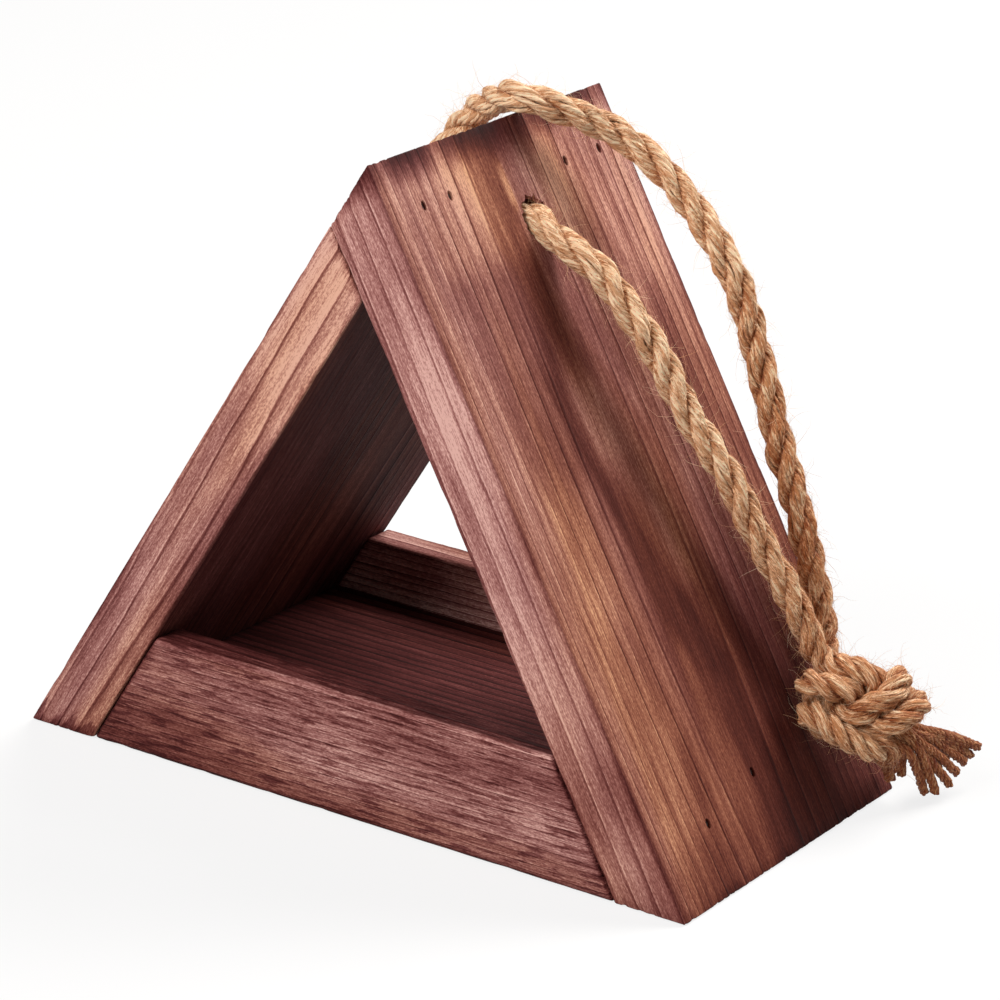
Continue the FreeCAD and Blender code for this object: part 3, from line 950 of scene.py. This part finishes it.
# The knot is laid out on its own axes: across its face, up it, and out of it, from its middle.
KNOT_MIDDLE = np.array([112.6, 39.0, 34.0])
KNOT_AXES = np.array(
    [[0.83461, 0.54907, 0.0442], [-0.22346, 0.26415, 0.93824], [0.50348, -0.79294, 0.34315]]
)
KNOT_BEAD = 2.0
KNOT_SPACING = 7.2
KNOT_HOLD = 0.06
KNOT_PUSH = 0.22
KNOT_BEND = 0.10
KNOT_KINK = 0.35
KNOT_SLIP = 0.25
KNOT_OFF_ROOF = 4.3
KNOT_HELD = 3
KNOT_ROUNDS = 300
RIGHT_KNOT = [
    (-12.2, 12.2, -1.6),
    (-8.0, 10.1, 1.0),
    (-3.6, 9.1, 4.0),
    (0.8, 7.4, 5.6),
    (3.2, 4.3, 4.4),
    (2.8, 0.9, 0.4),
    (4.0, 0.4, -4.0),
    (7.5, 3.0, -6.5),
    (10.2, 5.4, -5.5),
    (10.6, 7.2, -1.5),
    (9.6, 6.0, 3.4),
    (7.4, 3.4, 6.4),
    (3.8, -0.7, 6.4),
    (0.0, -3.6, 3.0),
    (-5.0, -3.1, 1.0),
    (-10.0, 0.0, 0.0),
    (-14.5, 3.1, 1.0),
    (-17.2, 5.7, 3.5),
    (-15.4, 6.7, 7.5),
    (-10.8, 5.2, 9.0),
    (-6.0, 2.4, 8.2),
    (-2.0, -0.9, 4.8),
    (1.0, -3.8, -0.5),
    (5.0, -6.0, -3.4),
    (9.0, -8.0, -3.8),
    (13.0, -10.2, -3.6),
]
LEFT_KNOT = [
    (-10.0, 12.0, -7.6),
    (-6.0, 10.4, -6.6),
    (-3.0, 9.4, -7.0),
    (2.0, 7.8, -9.0),
    (8.0, 3.8, -10.0),
    (12.6, 0.8, -8.0),
    (16.0, -0.2, -4.6),
    (17.0, 0.0, 0.0),
    (15.2, -2.0, 4.4),
    (11.2, -4.5, 6.8),
    (6.0, -6.3, 6.4),
    (0.6, -6.8, 3.0),
    (-5.0, -6.5, 1.0),
    (-10.0, -5.4, 1.0),
    (-14.5, -3.4, 2.6),
    (-17.0, -1.8, 6.0),
    (-14.8, -2.5, 9.2),
    (-11.6, -6.0, 10.0),
    (-6.4, -9.4, 8.8),
    (0.4, -11.2, 5.8),
    (6.0, -10.8, 2.2),
    (8.6, -12.4, -2.0),
    (9.6, -14.2, -4.4),
]


def smooth_line(points, steps):
    """Points along the smooth curve that given points steer, ends included."""
    data = bpy.data.curves.new("route", "CURVE")
    data.dimensions = "3D"
    spline = data.splines.new("NURBS")
    spline.points.add(len(points) - 1)
    for spot, place in zip(spline.points, points):
        spot.co = (*place, 1.0)
    spline.order_u = 3
    spline.use_endpoint_u = True
    spline.resolution_u = steps
    route = placed("route", data)
    line = np.array([vertex.co for vertex in evaluated_mesh(route).vertices])
    bpy.data.objects.remove(route)
    return line


def distances(line):
    return np.concatenate([[0.0], np.cumsum(np.linalg.norm(np.diff(line, axis=0), axis=1))])


def even_beads(line, spacing):
    """The same line with beads at an even spacing."""
    reach = distances(line)
    spots = np.linspace(0.0, reach[-1], round(reach[-1] / spacing) + 1)
    return np.column_stack([np.interp(spots, reach, line[:, axis]) for axis in range(3)])


def drawn_tight(routes):
    """Ropes of the knot as beads, pushed apart where they overlap and off the roof, and kept supple."""
    lines = [even_beads(smooth_line(route, 12), KNOT_BEAD) for route in routes]
    ends = np.cumsum([0] + [len(line) for line in lines])
    beads = np.concatenate(lines)
    start = beads.copy()
    rope = np.repeat(np.arange(len(lines)), [len(line) for line in lines])
    order = np.concatenate([np.arange(len(line)) for line in lines])
    neighbours = rope[:, None] == rope[None]
    neighbours &= np.abs(order[:, None] - order[None]) <= round(math.pi * KNOT_SPACING / 2 / KNOT_BEAD)
    free = (order > KNOT_HELD)[:, None]
    outward = np.array(roof_normal(1))
    for _ in range(KNOT_ROUNDS):
        apart = beads[:, None] - beads[None]
        far = np.linalg.norm(apart, axis=2) + 1e-9
        overlap = np.where(neighbours | (far > KNOT_SPACING), 0.0, KNOT_SPACING - far)
        moved = beads + KNOT_PUSH * (apart / far[..., None] * overlap[..., None]).sum(axis=1)
        height = moved @ outward - face_reach * 1000 - KNOT_OFF_ROOF
        moved -= np.minimum(height, 0.0)[:, None] * outward
        for first, last in zip(ends[:-1], ends[1:]):
            line = moved[first:last]
            bend = np.zeros_like(line)
            bend[1:-1] = (line[:-2] + line[2:]) / 2 - line[1:-1]
            kink = np.zeros_like(line)
            kink[1:-1] = (bend[:-2] + bend[2:]) / 2 - bend[1:-1]
            line += KNOT_BEND * bend - KNOT_KINK * kink
            for _ in range(2):
                step = np.diff(line, axis=0)
                long = np.linalg.norm(step, axis=1, keepdims=True)
                slip = KNOT_SLIP * step * (1 - long.mean() / long)
                line[:-1] += slip
                line[1:] -= slip
        moved += KNOT_HOLD * (start - moved)
        beads = np.where(free, moved, beads)
    return [smooth_line(beads[first:last], 3) for first, last in zip(ends[:-1], ends[1:])]


def directions(line):
    run = np.gradient(line, axis=0)
    return run / np.linalg.norm(run, axis=1, keepdims=True)


def side_vectors(line):
    """A vector square to the line at each point, which turns about it as little as it can."""
    runs = directions(line)
    side = np.cross(runs[0], (0.3, 0.2, 1.0))
    sides = []
    for run in runs:
        side = side - run * (side @ run)
        side = side / np.linalg.norm(side)
        sides.append(side)
    return np.array(sides)


def laid_line(line, lay_rate, yarn_rate, girth):
    """A line in millimetres with what the strands need at each point: how far along it is, the side
    vector, the turns of the strands and of the yarns in them, and how thick the rope is."""
    along = distances(line)
    middle_lay = (lay_rate[1:] + lay_rate[:-1]) / 2
    middle_yarn = (yarn_rate[1:] + yarn_rate[:-1]) / 2
    step = np.diff(along)
    return {
        "line": line,
        "along": along,
        "side": side_vectors(line),
        "lay": np.concatenate([[0.0], np.cumsum(middle_lay * step)]),
        "twist": np.concatenate([[0.0], np.cumsum(middle_yarn * step)]),
        "girth": girth,
    }


def stretch(laid, first, last):
    """A stretch of the rope that runs a little way into its neighbours and thins out inside them."""
    first = max(first - SPLICE, 0)
    last = min(last + SPLICE, len(laid["line"]))
    part = {key: values[first:last] for key, values in laid.items()}
    spots = np.arange(last - first)
    near = np.minimum(spots, spots[::-1]) / SPLICE
    part["girth"] = part["girth"] * (SPLICE_GIRTH + (1 - SPLICE_GIRTH) * np.minimum(near, 1.0))
    return part


def line_mesh(name, stretches):
    """Mesh of bare edges along some stretches of rope, with their values at its points."""
    mesh = bpy.data.meshes.new(name)
    count = 0
    edges = []
    for part in stretches:
        size = len(part["line"])
        edges += [(count + spot, count + spot + 1) for spot in range(size - 1)]
        count += size
    joined = {key: np.concatenate([part[key] for part in stretches]) for key in stretches[0]}
    mesh.from_pydata(joined["line"] * 0.001, edges, [])
    for key in ("along", "lay", "twist", "girth"):
        mesh.attributes.new(key, "FLOAT", "POINT").data.foreach_set("value", joined[key])
    side = mesh.attributes.new("side", "FLOAT_VECTOR", "POINT")
    side.data.foreach_set("vector", joined["side"].ravel())
    return mesh


def stored(tree, geometry, name, value, kind="FLOAT", domain="POINT"):
    return add_node(
        tree,
        "GeometryNodeStoreNamedAttribute",
        {"Geometry": geometry, "Name": name, "Value": value},
        data_type=kind,
        domain=domain,
    ).outputs[0]


def laid_rope(name, material, tones, ragged=0.0):
    """Tree that lays yarns round each other along bare lines, with lumps, and notes for the material
    where each spot is on its yarn, how pale the yarn is and how far out of the rope it lies."""
    sizes = ("Strand Reach", "Yarn Reach", "Yarn Radius")
    inputs = [("Strands", "NodeSocketInt"), ("Yarns", "NodeSocketInt")]
    tree = node_group(name, inputs + [(label, "NodeSocketFloat") for label in sizes])
    start = add_node(tree, "NodeGroupInput").outputs
    curves = add_node(tree, "GeometryNodeMeshToCurve", {"Mesh": start["Geometry"]}).outputs[0]
    place = add_node(tree, "GeometryNodeInputPosition").outputs[0]
    curves = stored(tree, curves, "core", place, "FLOAT_VECTOR")
    run = add_node(tree, "GeometryNodeInputTangent").outputs[0]
    curves = stored(tree, curves, "run", run, "FLOAT_VECTOR")
    amount = times(tree, start["Strands"], start["Yarns"])
    copies = add_node(
        tree, "GeometryNodeDuplicateElements", {"Geometry": curves, "Amount": amount}, domain="SPLINE"
    ).outputs
    number = copies["Duplicate Index"]
    strand = math_of(tree, "FLOOR", math_of(tree, "DIVIDE", number, start["Yarns"]))
    along = named(tree, "along")
    far = weighted(tree, number, 37.0, along)
    spot = add_node(tree, "ShaderNodeCombineXYZ", {0: far, 1: number}).outputs[0]
    lump = cloud(tree, spot, (0.26, 5.3, 1.0), 2.0)
    drift = cloud(tree, spot, (0.05, 9.1, 1.0), 1.0)
    jitter = cloud(tree, spot, (0.22, 3.7, 1.0), 2.0)

    whole = 2 * math.pi
    lay = math_of(tree, "DIVIDE", times(tree, strand, whole), start["Strands"])
    lay = math_of(tree, "ADD", lay, named(tree, "lay"))
    pulled = add_node(tree, "ShaderNodeCombineXYZ", {0: along, 1: strand}).outputs[0]
    pulled = cloud(tree, pulled, (0.05, 7.3, 1.0), 1.0)
    lay = weighted(tree, swing(tree, pulled), 1.4, lay)
    twist = math_of(tree, "DIVIDE", times(tree, number, whole), start["Yarns"])
    twist = math_of(tree, "ADD", twist, named(tree, "twist"))
    twist = weighted(tree, drift, 1.2, weighted(tree, strand, 0.7, twist))
    spread = weighted(tree, jitter, 0.55, weighted(tree, drift, 0.8, 0.31))
    girth = named(tree, "girth")
    yarn_reach = times(tree, times(tree, start["Yarn Reach"], girth), spread)
    strand_reach = times(tree, start["Strand Reach"], girth)
    shifts = []
    for turn in ("COSINE", "SINE"):
        out = times(tree, math_of(tree, turn, lay), strand_reach)
        shifts.append(weighted(tree, math_of(tree, turn, twist), yarn_reach, out))
    side = named(tree, "side", "FLOAT_VECTOR")
    other = vector_of(tree, "CROSS_PRODUCT", named(tree, "run", "FLOAT_VECTOR"), side)
    offset = vector_of(
        tree,
        "ADD",
        vector_of(tree, "SCALE", side, scale=shifts[0]),
        vector_of(tree, "SCALE", other, scale=shifts[1]),
    )
    yarns = add_node(
        tree, "GeometryNodeSetPosition", {"Geometry": copies["Geometry"], "Offset": offset}
    ).outputs[0]
    if ragged:
        cut = add_node(
            tree, "FunctionNodeRandomValue", {2: 1.0 - ragged, 3: 1.0, "ID": number, "Seed": 5}
        ).outputs[1]
        yarns = add_node(
            tree, "GeometryNodeTrimCurve", {"Curve": yarns, "End": cut}, mode="FACTOR"
        ).outputs[0]
    ring = add_node(tree, "GeometryNodeCurvePrimitiveCircle", {"Resolution": 6, "Radius": 1.0}).outputs[0]
    ring = stored(tree, ring, "round", place, "FLOAT_VECTOR")
    thick = times(tree, start["Yarn Radius"], girth)
    radius = times(tree, thick, weighted(tree, lump, 1.0, 0.53))
    skin = add_node(
        tree,
        "GeometryNodeCurveToMesh",
        {"Curve": yarns, "Profile Curve": ring, "Scale": radius, "Fill Caps": True},
    ).outputs[0]

    turned = add_node(
        tree,
        "ShaderNodeVectorRotate",
        {"Vector": named(tree, "round", "FLOAT_VECTOR"), "Angle": times(tree, along, 0.55)},
        rotation_type="Z_AXIS",
    ).outputs[0]
    lift = add_node(tree, "ShaderNodeCombineXYZ", {2: times(tree, far, 0.09)}).outputs[0]
    skin = stored(tree, skin, "fibre", vector_of(tree, "ADD", turned, lift), "FLOAT_VECTOR")
    tone = {2: tones[0], 3: tones[1], "ID": number, "Seed": 11}
    tone = add_node(tree, "FunctionNodeRandomValue", tone).outputs[1]
    skin = stored(tree, skin, "tone", tone)
    out = vector_of(tree, "SUBTRACT", place, named(tree, "core", "FLOAT_VECTOR"))
    skin = stored(tree, skin, "outward", out, "FLOAT_VECTOR")
    full = math_of(tree, "ADD", start["Yarn Reach"], start["Yarn Radius"])
    full = times(tree, math_of(tree, "ADD", start["Strand Reach"], full), girth)
    proud = math_of(tree, "DIVIDE", vector_of(tree, "LENGTH", out, output=1), full)
    skin = stored(tree, skin, "proud", proud)
    smooth = add_node(tree, "GeometryNodeSetShadeSmooth", {"Geometry": skin}).outputs[0]
    finish_tree(tree, smooth, material)
    return tree


DARK_JUTE = (0.32, 0.105, 0.035, 1)
MIDDLE_JUTE = (0.92, 0.470, 0.225, 1)
PALE_JUTE = (1.0, 0.76, 0.51, 1)
BROWN_JUTE = (0.58, 0.235, 0.090, 1)
STRAW_JUTE = (1.0, 0.70, 0.43, 1)
# Pale jute that the painted light mixes in.
PAINTED_LIGHT_JUTE = (1.0, 0.66, 0.39, 1)


def raw_jute():
    """Undyed jute: fine fibres along each yarn, some darker and some paler, with painted light that makes
    the stretches to the front and high up paler, painted shade low on the left leg behind the right one,
    and darker gaps between yarns from dust and painted shade."""
    material = fresh_material("raw_jute")
    tree = material.node_tree

    def noted(name, output):
        return add_node(tree, "ShaderNodeAttribute", attribute_name=name).outputs[output]

    fibre = noted("fibre", "Vector")
    fine = cloud(tree, fibre, (2.6, 2.6, 3.0), 3.0, 0.62)
    fleck = cloud(tree, fibre, (1.5, 1.5, 9.0), 2.0, 0.6)
    broad = cloud(tree, fibre, (0.8, 0.8, 1.6), 2.0)
    # Darker in the gaps between yarns: dust, and painted shade of the crevices.
    gap_dust_and_shade = ease(tree, noted("proud", "Fac"), 0.92, 0.45)
    colour = mixed(tree, ease(tree, fine, 0.36, 0.58), DARK_JUTE, MIDDLE_JUTE)
    colour = mixed(tree, ease(tree, fine, 0.53, 0.66), colour, PALE_JUTE)
    colour = mixed(tree, ease(tree, broad, 0.51, 0.62), colour, BROWN_JUTE)
    colour = mixed(tree, ease(tree, broad, 0.46, 0.34), colour, STRAW_JUTE)
    # Painted light: stretches to the front and high up are mixed towards a pale jute colour.
    place = add_node(tree, "ShaderNodeTexCoord").outputs["Object"]
    place = add_node(tree, "ShaderNodeSeparateXYZ", {0: place}).outputs
    front = ease(tree, place[1], 0.044, 0.026)
    painted_light_mix = times(tree, front, ease(tree, place[2], 0.05, 0.13))
    painted_light_mix = math_of(tree, "MAXIMUM", painted_light_mix, ease(tree, place[2], 0.125, 0.160))
    patches = weighted(tree, ease(tree, broad, 0.56, 0.44), 0.55, 0.15)
    colour = mixed(tree, times(tree, painted_light_mix, patches), colour, PAINTED_LIGHT_JUTE)
    shade = times(tree, noted("tone", "Fac"), weighted(tree, gap_dust_and_shade, -0.55, 1.0))
    shade = times(tree, shade, weighted(tree, fleck, 2.7, -0.30))
    # Painted light and shade: brighter high up and on the front stretches, darker low on the left leg
    # behind the right one, and allowed brighter where the painted light falls.
    painted_light_and_shade = weighted(tree, ease(tree, place[2], 0.04, 0.17), 0.22, 0.87)
    painted_light_and_shade = weighted(tree, front, 0.20, painted_light_and_shade)
    behind = band(tree, place[2], 0.095, 0.015, 0.03)
    behind = times(tree, behind, ease(tree, place[1], 0.040, 0.055))
    painted_light_and_shade = weighted(tree, behind, -0.14, painted_light_and_shade)
    most = weighted(tree, painted_light_mix, 0.08, 1.10)
    shade = math_of(tree, "MINIMUM", times(tree, shade, painted_light_and_shade), most)
    browner = [shade, math_of(tree, "POWER", shade, 1.8), math_of(tree, "POWER", shade, 2.5)]
    browner = add_node(tree, "ShaderNodeCombineColor", dict(enumerate(browner))).outputs[0]
    colour = mixed(tree, 1.0, colour, browner, "MULTIPLY")
    bump = add_node(
        tree, "ShaderNodeBump", {"Height": fine, "Strength": 0.8, "Distance": 0.0008}
    ).outputs[0]
    rough = weighted(tree, fine, -0.25, 0.72)
    return surfaced(
        material,
        {
            "Base Color": colour,
            "Roughness": rough,
            "Normal": bump,
            "Specular IOR Level": 0.2,
            "Sheen Weight": 0.06,
            "Sheen Roughness": 0.5,
        },
    )


def rope_piece(name, mesh, *stands_for):
    piece = placed(name, mesh)
    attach(piece, "root")
    if stands_for:
        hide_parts(*stands_for)
    return piece


def knot_places(route):
    return KNOT_MIDDLE + np.array(route) @ KNOT_AXES


right_leg = smooth_line(RIGHT_ROUTE, 10)
left_leg = smooth_line(LEFT_ROUTE, 10)
in_bore = smooth_line(BORE_ROUTE, 12)
right_knot, left_knot = drawn_tight(
    [
        np.concatenate([RIGHT_ROUTE[-1:], knot_places(RIGHT_KNOT)]),
        np.concatenate([LEFT_ROUTE[-1:], knot_places(LEFT_KNOT)]),
    ]
)
runs = [right_knot[::-1], right_leg[::-1][1:], in_bore[1:], left_leg[1:], left_knot[1:]]
marks = np.cumsum([0] + [len(run) for run in runs])
whole_line = np.concatenate(runs)
in_knot = np.ones(len(whole_line))
in_knot[marks[1] : marks[4]] = 0.0
blend = np.ones(2 * LAY_BLEND + 1) / (2 * LAY_BLEND + 1)
in_knot = np.convolve(np.pad(in_knot, LAY_BLEND, mode="edge"), blend, mode="valid")
laid = laid_line(
    whole_line,
    LAY_RATE + in_knot * (KNOT_LAY_RATE - LAY_RATE),
    YARN_RATE + in_knot * (KNOT_YARN_RATE - YARN_RATE),
    1.0 + in_knot * (KNOT_GIRTH - 1.0),
)
jute = raw_jute()
rope_tree = laid_rope("laid_rope", jute, ROPE_TONES)
rope_sizes = {
    "Strands": ROPE_STRANDS,
    "Yarns": STRAND_YARNS,
    "Strand Reach": STRAND_REACH,
    "Yarn Reach": YARN_REACH,
    "Yarn Radius": YARN_RADIUS,
}


def laid_piece(name, stretches, tree, sizes, stands_for):
    mesh = plain_mesh(name, line_mesh(f"{name}_line", stretches), tree, sizes)
    return rope_piece(name, mesh, stands_for)


knot_stretches = [stretch(laid, 0, marks[1]), stretch(laid, marks[4] - 1, marks[5])]
knot = laid_piece("doubled_knot", knot_stretches, rope_tree, rope_sizes, "rope_knot")
right_rope, bore_rope, left_rope = (
    laid_piece(name, [stretch(laid, marks[part] - 1, marks[part + 1])], rope_tree, rope_sizes, node)
    for name, part, node in (
        ("right_rope", 1, "rope_leg_right"),
        ("bore_rope", 2, "rope_in_ridge"),
        ("left_rope", 3, "rope_leg_left"),
    )
)

# Rope ends
# Both ends of the rope come out under the knot, cut off and unlaid into their yarns, which splay and
# hang by their own stiffness.
END_YARNS = 5
END_YARN_REACH = 0.00086
END_YARN_RADIUS = 0.00070
END_LAY_RATE = 0.25
END_YARN_RATE = 0.55
# Darker tones of the end yarns: partly their own colour, partly painted shade under the knot.
END_TONES = (0.42, 0.64)
END_RAGGED = 0.06
ROOT_DEPTH = 3.0
ROOT_FAN = 2.9
ROOT_SPREAD = 2.3
ROOT_TURN = 2.4
SAG_RISE = 1.6
SAG_WAVE = 0.6
YARN_APART = 60.0
LONG_TIPS = [
    (131.5, 80.4, 11.0),
    (130.4, 78.0, 8.8),
    (130.8, 73.6, 8.0),
    (130.5, 69.4, 6.0),
    (130.6, 64.6, 4.0),
    (128.6, 59.8, 2.6),
    (126.0, 57.6, 2.4),
    (125.0, 72.0, 9.0),
    (126.0, 66.0, 7.0),
    (127.4, 76.0, 12.0),
    (122.6, 63.0, 6.0),
    (129.6, 76.2, 11.8),
]
SHORT_TIPS = [
    (117.2, 50.7, 7.0),
    (118.8, 51.5, 10.0),
    (114.8, 57.0, 7.5),
    (118.0, 55.5, 10.5),
    (116.6, 53.4, 6.0),
    (119.6, 54.0, 8.0),
]


def splayed_end(line, tips, lean_reach):
    """Yarns that leave the end of a rope side by side and bend over to their tips."""
    run = directions(line)[-1]
    side = side_vectors(line)[-1]
    other = np.cross(run, side)
    fan = np.array(tips) - np.mean(tips, axis=0)
    fan -= np.outer(fan @ run, run)
    fan *= ROOT_FAN / np.linalg.norm(fan, axis=1).max()
    parts = []
    for number, tip in enumerate(tips):
        turn = ROOT_TURN * number
        reach = ROOT_SPREAD * math.sqrt((number + 0.5) / len(tips))
        root = line[-1] - ROOT_DEPTH * run + fan[number]
        root += reach * (math.cos(turn) * side + math.sin(turn) * other)
        lean = root + lean_reach * run
        tip = np.array(tip)
        sag = (lean + tip) / 2 + np.array([0.0, 0.0, SAG_RISE]) + SAG_WAVE * math.sin(5 * turn) * side
        yarn = smooth_line([root, lean, sag, tip], 10)
        even = np.ones(len(yarn))
        part = laid_line(yarn, END_LAY_RATE * even, END_YARN_RATE * even, even)
        part["along"] += YARN_APART * number
        parts.append(part)
    return parts


end_tree = laid_rope("rope_end_yarns", jute, END_TONES, END_RAGGED)
end_sizes = {
    "Strands": 1,
    "Yarns": END_YARNS,
    "Strand Reach": 0.0,
    "Yarn Reach": END_YARN_REACH,
    "Yarn Radius": END_YARN_RADIUS,
}
rope_ends = []
for name, line, tips, lean_reach, node in (
    ("long_end", right_knot, LONG_TIPS, 5.5, "rope_tail_long"),
    ("short_end", left_knot, SHORT_TIPS, 4.0, "rope_tail_short"),
):
    yarns = splayed_end(line, tips, lean_reach)
    rope_ends.append(laid_piece(name, yarns, end_tree, end_sizes, node))

# Loose fibres
# Short jute fuzz that lies along the yarns all over the rope, and fewer long fibres that stand out of
# it, all finer than a hair.
FIBRE_BEND = {"Start": (0, 0, 0), "Middle": (0, 0, 0.6), "End": (0.42, 0, 0.9)}
FIBRE_TAPER = 0.75
FIBRE_FACING = 0.35
WAVE_SCALE = 260.0
WAVE_REACH = 0.0035
FUZZ = {
    "share": 1.0,
    "bends": 2,
    "radius": 0.022,
    "length": (0.0012, 0.0036),
    "stand": 0.10,
    "curl": 0.25,
    "tones": (0.50, 1.45),
    "seed": 3,
}
HAIRS = {
    "share": 0.11,
    "bends": 4,
    "radius": 0.0055,
    "length": (0.0030, 0.0100),
    "stand": 0.6,
    "curl": 1.0,
    "tones": (1.0, 1.4),
    "seed": 20,
}


def loose_fibres():
    """Tree that grows bent, tapered fibres from the outside of a rope."""
    tree = node_group("loose_fibres", [("Density", "NodeSocketFloat"), ("Seed", "NodeSocketInt")])
    start = add_node(tree, "NodeGroupInput").outputs
    normal = add_node(tree, "GeometryNodeInputNormal").outputs[0]
    outward = vector_of(tree, "NORMALIZE", named(tree, "outward", "FLOAT_VECTOR"))
    facing = vector_of(tree, "DOT_PRODUCT", normal, outward, output=1)
    shown = add_node(
        tree,
        "FunctionNodeCompare",
        {0: facing, 1: FIBRE_FACING},
        data_type="FLOAT",
        operation="GREATER_THAN",
    ).outputs[0]
    factor = add_node(tree, "GeometryNodeSplineParameter").outputs["Factor"]
    thin = weighted(tree, factor, -FIBRE_TAPER, 1.0)

    def scatter(low, high, seed):
        return add_node(
            tree,
            "FunctionNodeRandomValue",
            {0: low, 1: high, "Seed": seed},
            data_type="FLOAT_VECTOR",
        ).outputs[0]

    def grown(kind):
        seed = kind["seed"]
        roots = add_node(
            tree,
            "GeometryNodeDistributePointsOnFaces",
            {
                "Mesh": start["Geometry"],
                "Selection": shown,
                "Density": times(tree, start["Density"], kind["share"]),
                "Seed": math_of(tree, "ADD", start["Seed"], seed),
            },
        ).outputs["Points"]
        bent = {"Resolution": kind["bends"], **FIBRE_BEND}
        fibre = add_node(tree, "GeometryNodeCurveQuadraticBezier", bent).outputs[0]
        fibre = stored(tree, fibre, "tip", times(tree, factor, kind["curl"]))
        ring = add_node(
            tree, "GeometryNodeCurvePrimitiveCircle", {"Resolution": 3, "Radius": kind["radius"]}
        ).outputs[0]
        strip = add_node(
            tree,
            "GeometryNodeCurveToMesh",
            {"Curve": fibre, "Profile Curve": ring, "Scale": thin, "Fill Caps": True},
        ).outputs[0]
        way = add_node(tree, "FunctionNodeRandomValue", {2: -1.5, 3: 1.5, "Seed": seed}).outputs[1]
        lean = vector_of(tree, "SCALE", named(tree, "run", "FLOAT_VECTOR"), scale=way)
        lean = vector_of(tree, "ADD", lean, scatter((-0.6,) * 3, (0.6,) * 3, seed + 1))
        lean = vector_of(tree, "SUBTRACT", lean, vector_of(tree, "PROJECT", lean, outward))
        lean = vector_of(tree, "ADD", lean, vector_of(tree, "SCALE", outward, scale=kind["stand"]))
        curl = vector_of(tree, "SCALE", outward, scale=-1.2)
        curl = vector_of(tree, "ADD", scatter((-1,) * 3, (1,) * 3, seed + 2), curl)
        turn = add_node(tree, "FunctionNodeAlignRotationToVector", {"Vector": lean}, axis="Z").outputs[0]
        turn = add_node(
            tree,
            "FunctionNodeAlignRotationToVector",
            {"Rotation": turn, "Vector": curl},
            axis="X",
            pivot_axis="Z",
        ).outputs[0]
        share = add_node(tree, "FunctionNodeRandomValue", {"Seed": seed + 3}).outputs[1]
        low, high = kind["length"]
        long = weighted(tree, math_of(tree, "POWER", share, 2.0), high - low, low)
        fibres = add_node(
            tree,
            "GeometryNodeInstanceOnPoints",
            {"Points": roots, "Instance": strip, "Rotation": turn, "Scale": long},
        ).outputs[0]
        dark, pale = kind["tones"]
        tone = add_node(tree, "FunctionNodeRandomValue", {2: dark, 3: pale, "Seed": seed + 4}).outputs[1]
        return stored(tree, fibres, "tone", tone, domain="INSTANCE")

    both = add_node(tree, "GeometryNodeJoinGeometry")
    for kind in (FUZZ, HAIRS):
        tree.links.new(grown(kind), both.inputs[0])
    loose = add_node(tree, "GeometryNodeRealizeInstances", {"Geometry": both.outputs[0]}).outputs[0]
    place = add_node(tree, "GeometryNodeInputPosition").outputs[0]
    wave = add_node(
        tree, "ShaderNodeTexNoise", {"Vector": place, "Scale": WAVE_SCALE, "Detail": 1.0}
    ).outputs["Color"]
    wave = vector_of(tree, "SUBTRACT", wave, (0.5, 0.5, 0.5))
    reach = times(tree, named(tree, "tip"), WAVE_REACH)
    loose = add_node(
        tree,
        "GeometryNodeSetPosition",
        {"Geometry": loose, "Offset": vector_of(tree, "SCALE", wave, scale=reach)},
    ).outputs[0]
    loose = stored(tree, loose, "proud", 1.0)
    finish_tree(tree, loose, jute)
    return tree


fibre_tree = loose_fibres()
knot_fuzz = []
left_fuzz = []
for piece, layers, density, coat in (
    (right_rope, 2, 4.6e5, knot_fuzz),
    (knot, 2, 3.4e5, knot_fuzz),
    (rope_ends[0], 1, 8e4, knot_fuzz),
    (rope_ends[1], 1, 8e4, knot_fuzz),
    (left_rope, 3, 3.1e5, left_fuzz),
):
    for layer in range(layers):
        name = f"{piece.name}_fibres_{layer + 1}"
        seed = 40 * (len(knot_fuzz) + len(left_fuzz))
        mesh = plain_mesh(name, piece.data, fibre_tree, {"Density": density, "Seed": seed})
        coat.append(rope_piece(name, mesh))
